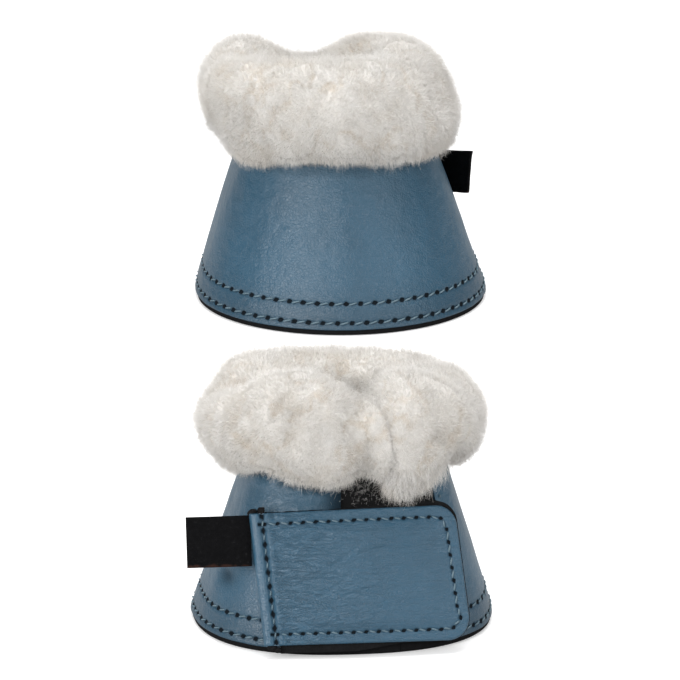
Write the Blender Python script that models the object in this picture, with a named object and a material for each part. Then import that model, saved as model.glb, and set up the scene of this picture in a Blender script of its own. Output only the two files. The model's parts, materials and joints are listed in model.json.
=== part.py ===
"""A pair of bell boots (over-reach boots) with fleece collars, built from separate sub-parts.

Units are metres, +Z is up and the boots stand on z = 0. Each boot is modelled in its own frame:
its closure faces -Y, its front faces +Y, and an angle round it is measured from +X towards +Y.
The flap and the strap are drawn in the flap's own plane: u runs across, v up the slope and w out.
"""

import math

import bmesh
import bpy
from mathutils import Matrix, Vector

# The bell, measured on the outside of its leather
HEM_HALF_WIDTH = 0.0785
HEM_FRONT_REACH = 0.0780
HEM_BACK_REACH = 0.0750
BELL_SLOPE = 0.3235             # inward run for each unit of height
HEM_SQUARENESS = 2.4            # of the back: 2 would be an ellipse, more is flatter across the closure
TOP_SQUARENESS = 4.4
SIDE_LEAN = 0.022               # sideways drift of the axis for each unit of height
HEM_HEIGHT = 0.0030
SHELL_TOP = 0.1040

# Sheet thicknesses and clearances
LEATHER = 0.0012
LINING = 0.0045
SEAT_GAP = 0.0003               # between pieces that touch
SHEET_GAP = 0.0005              # between the leather and its lining
ENDS_GAP = 0.0008               # between the two ends that meet at the closure
LINING_ABOVE_SHELL = 0.0010

# Where the pieces end at the closure, as angles round the boot
MEETING_ANGLE = math.radians(-72.0)
SHELL_RIGHT_ANGLE = math.radians(-47.0)
SHELL_LEFT_ANGLE = math.radians(262.0)
FACETS = 44                     # sections in a full turn
SHEET_LEVELS = (0.0200, 0.0440, 0.0660, 0.0850)  # shared heights keep stacked sheets parallel

# The fleece collar
COLLAR_FRONT_REACH = 0.0660
COLLAR_BACK_REACH = 0.0640
COLLAR_HOLE_HALF_WIDTH = 0.0250
COLLAR_HOLE_REACH = 0.0200
COLLAR_TOP = 0.1360
COLLAR_BOTTOM = 0.0852
COLLAR_BOTTOM_WAVE = 0.0025     # the lower edge is higher at front and back by this, lower at the sides
COLLAR_ROUNDNESS = 0.85         # 1 is an elliptical section, less is fuller
COLLAR_END_DIP = 0.0080         # how far the roll's top sinks where its ends meet
COLLAR_END_DIP_LENGTH = 0.0140
TUFT_DROP = 0.0045              # the fleece at the right end hangs lower by this
TUFT_ANGLE = math.radians(24.0)
TUFT_FADE_ANGLE = math.radians(12.0)
COLLAR_SECTION_POINTS = 16
SLOT_GAP = 0.0006               # round the bell's top edge, inside the collar

# Threads
THREAD_RADIUS = 0.00035
LOWER_ROW_HEIGHT = 0.0067
UPPER_ROW_HEIGHT = 0.0166
END_THREAD_INSET = 0.0025
ROW_START_INSET = 0.0050
ROW_STOP_INSET = 0.0015
COLLAR_THREAD_DROP = 0.0018

# The closing flap, in its own plane
FLAP_BOTTOM_HEIGHT = 0.0080
FLAP_CLEARANCE = 0.0014         # between the bell and the back of the flap
FLAP_LEATHER = 0.0022
FLAP_BACKING = 0.0016
FLAP_HEIGHT = 0.0688
FLAP_RISE = 0.0015              # how much higher the top edge is at its right end
FLAP_BOTTOM_LEFT = -0.0475
FLAP_TOP_LEFT = -0.0532
FLAP_BOTTOM_RIGHT = 0.0608
FLAP_TOP_RIGHT = 0.0535
FLAP_TOP_RADIUS = 0.0100
FLAP_BOTTOM_RADIUS = 0.0130
FLAP_CREST = 0.0030             # the flap is bent gently round the boot, and stands furthest out here
FLAP_BEND_RADIUS = 0.3200
FLAP_COLUMNS = 7
BACKING_MARGIN = 0.0008         # the backing stands out past the flap's free edges by this
BORDER_INSET = 0.0058
BORDER_START = 0.0030           # from the fold to the first stitches of the flap's border
SEAM_INSET = 0.0060             # from the flap's left edge to its vertical seam
BASE_WIDTH = 0.0076             # the sewn strip, from the left edge to the fold
BASE_LEG = 0.0040               # thickness of the strip's leg, which reaches the bell
BASE_LEG_ANGLE = math.radians(60.0)  # the way the leg runs in to the bell, from +X
FOLD_GAP = 0.0006
LEG_GAP = 0.0006                 # between the leg and the bell
BASE_SECTIONS = 10

# The loop field under the flap
LOOP_THICKNESS = 0.0014
LOOP_BOTTOM = 0.0070
LOOP_TOP = 0.0700
LOOP_SIDE_MARGIN = 0.0015

# The strap
STRAP_WIDTH = 0.0265
STRAP_THICKNESS = 0.0016
STRAP_CENTRE_HEIGHT = 0.0585
STRAP_END = -0.0850
STRAP_ROOT_GAP = 0.0004
STRAP_ROOT_POINTS = 5           # round the strap's root, which turns beside the flap's edge
STRAP_DEPTH = 0.0036            # from the flap's face to the middle of the strap

# The pair
BOOT_SPACING = 0.5700

# What differs between the two boots: soft pieces lie a little differently on each
BOOTS = (
    {
        "name": "left", "side": 1.0, "turn": math.radians(184.0), "collar_half_width": 0.0660,
        "collar_lean": 0.0105, "collar_tilt": 0.0070, "strap_swing": math.radians(-45.0),
    },
    {
        "name": "right", "side": -1.0, "turn": math.radians(6.0), "collar_half_width": 0.0750,
        "collar_lean": -0.0010, "collar_tilt": -0.0070, "strap_swing": 0.0,
    },
)

# Colour, roughness and metallic value of each sub-part
FINISHES = {
    "outer_shell": ((0.088, 0.156, 0.220, 1.0), 0.45, 0.0),
    "lining": ((0.006, 0.006, 0.007, 1.0), 0.90, 0.0),
    "fleece_collar": ((0.700, 0.640, 0.580, 1.0), 0.95, 0.0),
    "hem_thread_upper": ((0.020, 0.050, 0.070, 1.0), 0.70, 0.0),
    "hem_thread_lower": ((0.020, 0.050, 0.070, 1.0), 0.70, 0.0),
    "collar_thread": ((0.180, 0.220, 0.250, 1.0), 0.70, 0.0),
    "end_thread": ((0.020, 0.050, 0.070, 1.0), 0.70, 0.0),
    "flap_base": ((0.080, 0.144, 0.205, 1.0), 0.45, 0.0),
    "flap_panel": ((0.084, 0.150, 0.212, 1.0), 0.45, 0.0),
    "flap_backing": ((0.008, 0.008, 0.010, 1.0), 0.95, 0.0),
    "flap_border_thread": ((0.020, 0.050, 0.070, 1.0), 0.70, 0.0),
    "flap_seam_thread": ((0.020, 0.050, 0.070, 1.0), 0.70, 0.0),
    "loop_field": ((0.007, 0.007, 0.008, 1.0), 0.95, 0.0),
    "strap": ((0.009, 0.009, 0.012, 1.0), 0.90, 0.0),
}

FLAP_THICKNESS = FLAP_LEATHER + SEAT_GAP + FLAP_BACKING
LEAN_ANGLE = math.atan(BELL_SLOPE)


# Scene helpers

def clear_scene():
    for old in list(bpy.data.objects):
        bpy.data.objects.remove(old, do_unlink=True)


def make_collection(name):
    collection = bpy.data.collections.new(name)
    bpy.context.scene.collection.children.link(collection)
    return collection


def make_materials():
    materials = {}
    for piece, (colour, roughness, metallic) in FINISHES.items():
        material = bpy.data.materials.new(piece)
        material.use_nodes = True
        shader = material.node_tree.nodes["Principled BSDF"]
        shader.inputs["Base Color"].default_value = colour
        shader.inputs["Roughness"].default_value = roughness
        shader.inputs["Metallic"].default_value = metallic
        materials[piece] = material
    return materials


def make_empty(name, collection, parent, matrix):
    empty = bpy.data.objects.new(name, None)
    empty.empty_display_size = 0.02
    collection.objects.link(empty)
    empty.parent = parent
    empty.matrix_basis = matrix
    return empty


# The bell's surface

def bell_radius(angle, height, offset):
    """Distance from the bell's axis to a surface that lies offset outside its leather."""
    shrink = BELL_SLOPE * (height - HEM_HEIGHT)
    front = math.sin(angle) >= 0.0
    squareness = HEM_SQUARENESS + (TOP_SQUARENESS - HEM_SQUARENESS) * height / SHELL_TOP
    power = 2.0 if front else squareness
    reach = (HEM_FRONT_REACH if front else HEM_BACK_REACH) - shrink
    across = abs(math.cos(angle)) / (HEM_HALF_WIDTH - shrink)
    along = abs(math.sin(angle)) / reach
    return (across ** power + along ** power) ** (-1.0 / power) + offset


def round_axis(angle, radius, height):
    return Vector((SIDE_LEAN * height + radius * math.cos(angle), radius * math.sin(angle), height))


def bell_point(angle, height, offset):
    return round_axis(angle, bell_radius(angle, height, offset), height)


def angles_between(start, stop):
    """The given ends and the shared section angles between them, so that stacked sheets stay parallel."""
    step = math.tau / FACETS
    first = math.floor((start - MEETING_ANGLE) / step) + 1
    last = math.ceil((stop - MEETING_ANGLE) / step)
    inner = [MEETING_ANGLE + step * k for k in range(first, last)]
    margin = step * 0.15
    inner = [a for a in inner if start + margin < a < stop - margin]
    return [start] + inner + [stop]


def levels_between(bottom, top):
    return [bottom] + [level for level in SHEET_LEVELS if bottom < level < top] + [top]


def round_boot(gap):
    """Section angles from one end at the closure to the other, with half the gap left at each."""
    inset = 0.5 * gap / (HEM_BACK_REACH - BELL_SLOPE * SHELL_TOP)
    return angles_between(MEETING_ANGLE + inset, MEETING_ANGLE + math.tau - inset)


# Solids

def loft(name, sections, ring=False):
    """A closed solid through a row of outlines with equal numbers of points."""
    mesh = bpy.data.meshes.new(name)
    bm = bmesh.new()
    loops = [[bm.verts.new(point) for point in section] for section in sections]
    following = loops[1:] + loops[:1] if ring else loops[1:]
    for loop, after in zip(loops, following):
        for i, corner in enumerate(loop):
            j = (i + 1) % len(loop)
            bm.faces.new((corner, loop[j], after[j], after[i]))
    if not ring:
        bm.faces.new(loops[0])
        bm.faces.new(loops[-1])
    bmesh.ops.recalc_face_normals(bm, faces=bm.faces)
    bm.to_mesh(mesh)
    bm.free()
    return bpy.data.objects.new(name, mesh)


def bell_sheet(name, angles, heights, outer_offset, thickness, ring=False):
    """A sheet that follows the bell between the first and the last of the heights."""
    sections = []
    for angle in angles:
        outside = [bell_point(angle, z, outer_offset) for z in heights]
        inside = [bell_point(angle, z, outer_offset - thickness) for z in reversed(heights)]
        sections.append(outside + inside)
    return loft(name, sections, ring)


def thread(name, points):
    curve = bpy.data.curves.new(name, "CURVE")
    curve.dimensions = "3D"
    curve.bevel_depth = THREAD_RADIUS
    curve.bevel_resolution = 1
    curve.use_fill_caps = True
    spline = curve.splines.new("POLY")
    spline.points.add(len(points) - 1)
    for spline_point, point in zip(spline.points, points):
        spline_point.co = (*point, 1.0)
    return bpy.data.objects.new(name, curve)


def flap_sheet(name, margin, outer_w, thickness):
    """A layer of the moving flap, from the fold to the rounded right end, standing out by margin."""
    sections = []
    for v in flap_rows(margin):
        left = flap_fold(v) + FOLD_GAP
        right = flap_right_rounded(v, margin)
        across = [left + (right - left) * k / (FLAP_COLUMNS - 1) for k in range(FLAP_COLUMNS)]
        outside = [flap_point(u, v, outer_w) for u in across]
        inside = [flap_point(u, v, outer_w - thickness) for u in reversed(across)]
        sections.append(outside + inside)
    return loft(name, sections)


# The flap's plane

def flap_plane():
    """Flap coordinates to boot coordinates. The face w = 0 is the outside of the flap."""
    across = Vector((1.0, 0.0, 0.0))
    up = Vector((0.0, math.sin(LEAN_ANGLE), math.cos(LEAN_ANGLE)))
    out = across.cross(up)
    back = HEM_BACK_REACH - BELL_SLOPE * (FLAP_BOTTOM_HEIGHT - HEM_HEIGHT)
    stand_off = (FLAP_CLEARANCE + FLAP_THICKNESS) / math.cos(LEAN_ANGLE)
    origin = Vector((0.0, -(back + stand_off), FLAP_BOTTOM_HEIGHT))
    return Matrix((
        (across.x, up.x, out.x, origin.x),
        (across.y, up.y, out.y, origin.y),
        (across.z, up.z, out.z, origin.z),
        (0.0, 0.0, 0.0, 1.0),
    ))


def flap_point(u, v, w):
    bend = (u - FLAP_CREST) ** 2 / (2.0 * FLAP_BEND_RADIUS)
    rise = FLAP_RISE * (u - FLAP_TOP_LEFT) / (FLAP_TOP_RIGHT - FLAP_TOP_LEFT) * v / FLAP_HEIGHT
    return flap_plane() @ Vector((u, v + rise, w - bend))


def flap_left(v):
    return FLAP_BOTTOM_LEFT + (FLAP_TOP_LEFT - FLAP_BOTTOM_LEFT) * v / FLAP_HEIGHT


def flap_right(v):
    return FLAP_BOTTOM_RIGHT + (FLAP_TOP_RIGHT - FLAP_BOTTOM_RIGHT) * v / FLAP_HEIGHT


def flap_fold(v):
    return flap_left(v) + BASE_WIDTH


def corner_cut(depth, radius):
    """How far a rounded corner draws the right end in, at a depth below the edge that it rounds into."""
    beyond = max(radius - depth, 0.0)
    return radius - math.sqrt(radius ** 2 - beyond ** 2)


def flap_right_rounded(v, margin):
    """The flap's right end with its two corners rounded, for an outline that stands out by margin."""
    from_bottom = corner_cut(v + margin, FLAP_BOTTOM_RADIUS + margin)
    from_top = corner_cut(FLAP_HEIGHT + margin - v, FLAP_TOP_RADIUS + margin)
    return flap_right(v) + margin - from_bottom - from_top


def flap_rows(margin):
    """Heights of the flap's sections: close together where its corners are rounded."""
    bottom, top = FLAP_BOTTOM_RADIUS + margin, FLAP_TOP_RADIUS + margin
    shares = [1.0 - math.cos(math.pi / 2.0 * k / 4) for k in range(5)]
    low = [-margin + bottom * share for share in shares]
    high = [FLAP_HEIGHT + margin - top * share for share in reversed(shares)]
    middle = (low[-1] + high[0]) / 2.0
    return low + [middle] + high


def seat_point(u, v, w):
    """Where a level line along the leg, from a flap point inwards, meets the bell with its gap left."""
    start = flap_point(u, v, w)
    outside, inside = 0.0, HEM_BACK_REACH
    for _ in range(30):
        run = (outside + inside) / 2.0
        x = start.x + run * math.cos(BASE_LEG_ANGLE) - SIDE_LEAN * start.z
        y = start.y + run * math.sin(BASE_LEG_ANGLE)
        if math.hypot(x, y) > bell_radius(math.atan2(y, x), start.z, LEG_GAP):
            outside = run
        else:
            inside = run
    return start + outside * Vector((math.cos(BASE_LEG_ANGLE), math.sin(BASE_LEG_ANGLE), 0.0))


def base_foot_angle(height):
    """The angle round the boot at which the flap's sewn leg meets the bell, at a height."""
    root_height = height - FLAP_BOTTOM_HEIGHT + FLAP_THICKNESS * math.sin(LEAN_ANGLE)
    v = root_height / math.cos(LEAN_ANGLE)
    foot = seat_point(flap_left(v), v, -FLAP_THICKNESS)
    return math.atan2(foot.y, foot.x - SIDE_LEAN * foot.z) % math.tau


# The fleece collar's shape

def smooth_step(x):
    x = min(max(x, 0.0), 1.0)
    return x * x * (3.0 - 2.0 * x)


def oval_radius(angle, half_width, reach):
    return 1.0 / math.hypot(math.cos(angle) / half_width, math.sin(angle) / reach)


def collar_limits(angle, boot):
    """Inner and outer radius, lower edge and top of the collar's roll at an angle round the boot."""
    reach = COLLAR_FRONT_REACH if math.sin(angle) >= 0.0 else COLLAR_BACK_REACH
    outer = oval_radius(angle, boot["collar_half_width"], reach)
    inner = oval_radius(angle, COLLAR_HOLE_HALF_WIDTH, COLLAR_HOLE_REACH)
    from_right_end = angle - MEETING_ANGLE
    from_end = min(from_right_end, math.tau - from_right_end) * (outer + inner) / 2.0
    dip = COLLAR_END_DIP * math.exp(-((from_end / COLLAR_END_DIP_LENGTH) ** 2))
    top = COLLAR_TOP + boot["collar_tilt"] * math.sin(angle) - dip
    tuft = TUFT_DROP * (1.0 - smooth_step((from_right_end - TUFT_ANGLE) / TUFT_FADE_ANGLE))
    bottom = COLLAR_BOTTOM - COLLAR_BOTTOM_WAVE * math.cos(2.0 * angle) - tuft
    return inner, outer, bottom, top


def collar_section(angle, boot):
    """One outline of the roll. Its lowest point lies on the middle of the sheets that it is sewn over."""
    inner, outer, bottom, top = collar_limits(angle, boot)
    sheet = bell_radius(angle, bottom, -(LEATHER + SHEET_GAP + LINING) / 2.0)
    section = []
    for k in range(COLLAR_SECTION_POINTS):
        turn = math.tau * (k + 0.5) / COLLAR_SECTION_POINTS
        across = math.copysign(abs(math.cos(turn)) ** COLLAR_ROUNDNESS, math.cos(turn))
        along = math.copysign(abs(math.sin(turn)) ** COLLAR_ROUNDNESS, math.sin(turn))
        height = (bottom + top) / 2.0 + along * (top - bottom) / 2.0
        rise = smooth_step((height - bottom) / (top - bottom))
        middle = sheet + ((outer + inner) / 2.0 - sheet) * rise
        point = round_axis(angle, middle + across * (outer - inner) / 2.0, height)
        point.x += (boot["collar_lean"] - SIDE_LEAN * COLLAR_BOTTOM) * rise
        section.append(point)
    return section


# The sub-parts of one boot, in the boot's frame

def outer_shell(name):
    angles = angles_between(SHELL_RIGHT_ANGLE, SHELL_LEFT_ANGLE)
    return bell_sheet(name, angles, levels_between(HEM_HEIGHT, SHELL_TOP), 0.0, LEATHER)


def lining(name):
    heights = levels_between(0.0, SHELL_TOP + LINING_ABOVE_SHELL)
    return bell_sheet(name, round_boot(ENDS_GAP), heights, -(LEATHER + SHEET_GAP), LINING)


def collar_slot(name):
    """The cutter for the slot that the bell's top edge stands in."""
    heights = (*SHEET_LEVELS, SHELL_TOP + LINING_ABOVE_SHELL + SLOT_GAP)
    thickness = LEATHER + SHEET_GAP + LINING + 2.0 * SLOT_GAP
    angles = [MEETING_ANGLE + math.tau * k / FACETS for k in range(FACETS)]
    return bell_sheet(name, angles, heights, SLOT_GAP, thickness, ring=True)


def fleece_collar(name, boot, slot):
    piece = loft(name, [collar_section(angle, boot) for angle in round_boot(ENDS_GAP)])
    cut = piece.modifiers.new("slot", "BOOLEAN")
    cut.operation = "DIFFERENCE"
    cut.solver = "EXACT"
    cut.object = slot
    return piece


def hem_thread(name, height):
    start = SHELL_RIGHT_ANGLE + ROW_START_INSET / bell_radius(SHELL_RIGHT_ANGLE, height, 0.0)
    foot = base_foot_angle(height)
    stop = foot - ROW_STOP_INSET / bell_radius(foot, height, 0.0)
    offset = SEAT_GAP + THREAD_RADIUS
    return thread(name, [bell_point(angle, height, offset) for angle in angles_between(start, stop)])


def collar_thread(name, boot):
    points = []
    for angle in angles_between(SHELL_RIGHT_ANGLE, SHELL_LEFT_ANGLE):
        height = collar_limits(angle, boot)[2] - COLLAR_THREAD_DROP
        points.append(bell_point(angle, height, SEAT_GAP + THREAD_RADIUS))
    return thread(name, points)


def end_thread(name, boot):
    angle = SHELL_RIGHT_ANGLE + END_THREAD_INSET / bell_radius(SHELL_RIGHT_ANGLE, LOWER_ROW_HEIGHT, 0.0)
    top = collar_limits(angle, boot)[2] - 2.0 * COLLAR_THREAD_DROP
    heights = levels_between(LOWER_ROW_HEIGHT, top)
    return thread(name, [bell_point(angle, z, 2.0 * SEAT_GAP + THREAD_RADIUS) for z in heights])


def loop_field(name):
    radius = bell_radius(MEETING_ANGLE, LOOP_BOTTOM, 0.0)
    start = MEETING_ANGLE + LOOP_SIDE_MARGIN / radius
    stop = SHELL_RIGHT_ANGLE - LOOP_SIDE_MARGIN / radius
    outside = -LEATHER + LOOP_THICKNESS
    heights = levels_between(LOOP_BOTTOM, LOOP_TOP)
    return bell_sheet(name, angles_between(start, stop), heights, outside, LOOP_THICKNESS)


def flap_base(name):
    """The flap's sewn strip, with a leg that reaches back to the bell."""
    sections = []
    for k in range(BASE_SECTIONS):
        v = FLAP_HEIGHT * k / (BASE_SECTIONS - 1)
        left, fold = flap_left(v), flap_fold(v)
        leg = left + BASE_LEG
        strip = ((left, 0.0), (fold, 0.0), (fold, -FLAP_THICKNESS), (leg, -FLAP_THICKNESS))
        foot = [seat_point(u, v, -FLAP_THICKNESS) for u in (leg, (left + leg) / 2.0, left)]
        sections.append([flap_point(u, v, w) for u, w in strip] + foot)
    return loft(name, sections)


def flap_panel(name):
    return flap_sheet(name, 0.0, 0.0, FLAP_LEATHER)


def flap_backing(name):
    return flap_sheet(name, BACKING_MARGIN, -(FLAP_LEATHER + SEAT_GAP), FLAP_BACKING)


def flap_border_thread(name):
    """Along the bottom, right and top of the flap, one inset inside its outline."""
    rows = flap_rows(-BORDER_INSET)
    right_end = [(flap_right_rounded(v, -BORDER_INSET), v) for v in rows]
    starts = [(flap_fold(v) + BORDER_START, v) for v in (rows[0], rows[-1])]
    bottom = along_row(starts[0], right_end[0])
    top = along_row(starts[1], right_end[-1])
    path = bottom + right_end + top[::-1]
    return thread(name, [flap_point(u, v, SEAT_GAP + THREAD_RADIUS) for u, v in path])


def along_row(start, stop):
    """The start of a row across the flap and the points between it and stop, for the flap's bend."""
    return [
        (start[0] + (stop[0] - start[0]) * k / (FLAP_COLUMNS - 1), start[1])
        for k in range(FLAP_COLUMNS - 1)
    ]


def flap_seam_thread(name):
    w = SEAT_GAP + THREAD_RADIUS
    ends = (BORDER_INSET / 3.0, FLAP_HEIGHT - BORDER_INSET / 3.0)
    return thread(name, [flap_point(flap_left(v) + SEAM_INSET, v, w) for v in ends])


def strap_rows():
    """Heights of the strap's lower and upper edge, up the slope of the flap."""
    middle = (STRAP_CENTRE_HEIGHT - FLAP_BOTTOM_HEIGHT) / math.cos(LEAN_ANGLE)
    return middle - STRAP_WIDTH / 2.0, middle + STRAP_WIDTH / 2.0


def strap_root(v):
    """The middle of the strap's rounded root, beside the left side of the flap's sewn strip."""
    plane = flap_plane()
    edge = flap_point(flap_left(v), v, 0.0)
    foot = seat_point(flap_left(v), v, -FLAP_THICKNESS)
    side = edge + (foot - edge) * STRAP_DEPTH / (edge - foot).dot(plane.col[2].to_3d())
    return side - plane.col[0].to_3d() * (STRAP_ROOT_GAP + STRAP_THICKNESS / 2.0)


def strap(name):
    """A flat tape with a rounded root and a square cut end."""
    plane = flap_plane()
    across, out = plane.col[0].to_3d(), plane.col[2].to_3d()
    half = STRAP_THICKNESS / 2.0
    sections = []
    for v in strap_rows():
        root = strap_root(v)
        end = root + across * (STRAP_END - root.x)
        section = [end + out * half, end - out * half]
        for k in range(STRAP_ROOT_POINTS):
            turn = math.pi * (k / (STRAP_ROOT_POINTS - 1) - 0.5)
            section.append(root + (across * math.cos(turn) + out * math.sin(turn)) * half)
        sections.append(section)
    return loft(name, sections)


# Joint axes

def hinge_frame(low, high):
    """A frame on the middle of the line from low to high, with its Z along that line."""
    axis = (high - low).normalized()
    side = axis.cross(Vector((0.0, 1.0, 0.0))).normalized()
    frame = Matrix((side, axis.cross(side), axis)).transposed().to_4x4()
    frame.translation = (low + high) / 2.0
    return frame


def flap_hinge():
    low = flap_point(flap_fold(0.0), 0.0, 0.0)
    return hinge_frame(low, flap_point(flap_fold(FLAP_HEIGHT), FLAP_HEIGHT, 0.0))


def strap_hinge():
    low, high = strap_rows()
    return hinge_frame(strap_root(low), strap_root(high))


def attach(piece, parent, parent_frame, collection, material):
    """Hangs a piece that was drawn in the boot's frame on an empty, without moving it."""
    collection.objects.link(piece)
    piece.parent = parent
    piece.data.transform(parent_frame.inverted())
    piece.data.materials.append(material)
    return piece


def build_boot(boot, root, parts, cutters, materials):
    side = boot["name"]
    place = Matrix.Translation((0.0, boot["side"] * BOOT_SPACING / 2.0, 0.0))
    frame = make_empty(side + "_boot", parts, root, place @ Matrix.Rotation(boot["turn"], 4, "Z"))
    flap_frame = flap_hinge()
    flap_empty = make_empty(side + "_flap_hinge", parts, frame, flap_frame)
    strap_frame = strap_hinge()
    swung = strap_frame @ Matrix.Rotation(boot["strap_swing"], 4, "Z")
    strap_empty = make_empty(side + "_strap_hinge", parts, frame, swung)

    slot = collar_slot(side + "_collar_slot")
    cutters.objects.link(slot)
    slot.parent = frame
    slot.hide_render = True
    slot.display_type = "WIRE"

    prefix = side + "_"
    still = Matrix.Identity(4)
    built = (
        ("outer_shell", outer_shell(prefix + "outer_shell"), frame, still),
        ("lining", lining(prefix + "lining"), frame, still),
        ("fleece_collar", fleece_collar(prefix + "fleece_collar", boot, slot), frame, still),
        ("hem_thread_upper", hem_thread(prefix + "hem_thread_upper", UPPER_ROW_HEIGHT), frame, still),
        ("hem_thread_lower", hem_thread(prefix + "hem_thread_lower", LOWER_ROW_HEIGHT), frame, still),
        ("collar_thread", collar_thread(prefix + "collar_thread", boot), frame, still),
        ("end_thread", end_thread(prefix + "end_thread", boot), frame, still),
        ("loop_field", loop_field(prefix + "loop_field"), frame, still),
        ("flap_base", flap_base(prefix + "flap_base"), frame, still),
        ("flap_seam_thread", flap_seam_thread(prefix + "flap_seam_thread"), frame, still),
        ("flap_panel", flap_panel(prefix + "flap_panel"), flap_empty, flap_frame),
        ("flap_backing", flap_backing(prefix + "flap_backing"), flap_empty, flap_frame),
        ("flap_border_thread", flap_border_thread(prefix + "flap_border_thread"), flap_empty, flap_frame),
        ("strap", strap(prefix + "strap"), strap_empty, strap_frame),
    )
    return [
        attach(piece, parent, parent_frame, parts, materials[kind])
        for kind, piece, parent, parent_frame in built
    ]


def centre_over_origin(root, pieces):
    """Moves the pair so that the middle of its footprint lies on the origin."""
    bpy.context.view_layer.update()
    graph = bpy.context.evaluated_depsgraph_get()
    corners = []
    for piece in pieces:
        evaluated = piece.evaluated_get(graph)
        mesh = evaluated.to_mesh()
        corners.extend(evaluated.matrix_world @ vertex.co for vertex in mesh.vertices)
        evaluated.to_mesh_clear()
    root.location.x = -(min(c.x for c in corners) + max(c.x for c in corners)) / 2.0
    root.location.y = -(min(c.y for c in corners) + max(c.y for c in corners)) / 2.0
    bpy.context.view_layer.update()


def main():
    clear_scene()
    parts = make_collection("bell_boots")
    cutters = make_collection("cutters")
    materials = make_materials()
    root = make_empty("bell_boots_origin", parts, None, Matrix.Identity(4))
    pieces = []
    for boot in BOOTS:
        pieces += build_boot(boot, root, parts, cutters, materials)
    centre_over_origin(root, pieces)


main()
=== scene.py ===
"""The looks of a pair of bell boots: leather, stitching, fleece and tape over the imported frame."""
import json
import math

import bpy
import numpy as np
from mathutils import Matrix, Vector
from mathutils.kdtree import KDTree


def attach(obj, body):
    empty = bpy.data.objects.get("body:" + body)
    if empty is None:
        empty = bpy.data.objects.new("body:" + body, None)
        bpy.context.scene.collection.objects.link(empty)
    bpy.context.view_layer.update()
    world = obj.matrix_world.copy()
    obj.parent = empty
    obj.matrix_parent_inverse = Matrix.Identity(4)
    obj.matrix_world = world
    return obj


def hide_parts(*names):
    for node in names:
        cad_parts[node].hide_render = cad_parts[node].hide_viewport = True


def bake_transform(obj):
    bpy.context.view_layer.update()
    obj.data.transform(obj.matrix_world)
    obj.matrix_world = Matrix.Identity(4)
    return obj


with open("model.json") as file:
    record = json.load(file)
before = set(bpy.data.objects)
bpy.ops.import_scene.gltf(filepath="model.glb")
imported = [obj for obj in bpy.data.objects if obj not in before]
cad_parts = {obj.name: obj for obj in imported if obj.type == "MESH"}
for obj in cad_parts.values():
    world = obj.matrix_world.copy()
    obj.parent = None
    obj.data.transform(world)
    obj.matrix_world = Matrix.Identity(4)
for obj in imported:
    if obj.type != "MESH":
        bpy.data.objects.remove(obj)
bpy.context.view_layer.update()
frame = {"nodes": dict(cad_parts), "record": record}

# ---------------------------------------------------------------- the boots' shape, as the CAD has it
HEM_HALF_WIDTH, HEM_FRONT, HEM_BACK = 0.0785, 0.078, 0.075
SLOPE = 0.3235
HEM_SQUARENESS, TOP_SQUARENESS = 2.4, 4.4
SIDE_LEAN = 0.022
HEM_HEIGHT, SHELL_TOP = 0.003, 0.104
LEATHER, LINING, SHEET_GAP = 0.0012, 0.0045, 0.0005
MEETING = math.radians(-72)
SHELL_RIGHT, SHELL_LEFT = math.radians(-47), math.radians(262)
LOWER_ROW, UPPER_ROW = 0.0067, 0.0166

COLLAR_FRONT, COLLAR_BACK = 0.066, 0.064
HOLE_HALF_WIDTH, HOLE_REACH = 0.025, 0.02
COLLAR_TOP, COLLAR_BOTTOM, COLLAR_WAVE = 0.136, 0.0852, 0.0025
COLLAR_ROUNDNESS = 0.85
TUFT_ANGLE, TUFT_FADE = math.radians(24), math.radians(12)

FLAP_BOTTOM, FLAP_HEIGHT, FLAP_RISE = 0.008, 0.0688, 0.0015
FLAP_CLEARANCE, FLAP_LEATHER, FLAP_BACKING, SEAT_GAP = 0.0014, 0.0022, 0.0016, 0.0003
FLAP_THICKNESS = FLAP_LEATHER + SEAT_GAP + FLAP_BACKING
FLAP_BOTTOM_LEFT, FLAP_TOP_LEFT = -0.0475, -0.0532
FLAP_BOTTOM_RIGHT, FLAP_TOP_RIGHT = 0.0608, 0.0535
FLAP_TOP_RADIUS, FLAP_BOTTOM_RADIUS = 0.01, 0.013
FLAP_CREST, FLAP_BEND = 0.003, 0.32
BASE_WIDTH, SEAM_INSET, BORDER_INSET = 0.0076, 0.006, 0.0058
STRAP_WIDTH, STRAP_THICKNESS, STRAP_END, STRAP_DEPTH = 0.0265, 0.0016, -0.085, 0.0036
STRAP_ROOT, STRAP_HEIGHT, STRAP_BEND, STRAP_RISES_FROM = -0.0525, 0.0585, (0.0535, 0.06), 0.064
LEAN = math.atan(SLOPE)

mounts = {m["name"]: m for m in frame["record"]["mounts"]}
joints = {j["name"]: j for j in frame["record"]["behaviour"]["joints"]}

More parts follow.
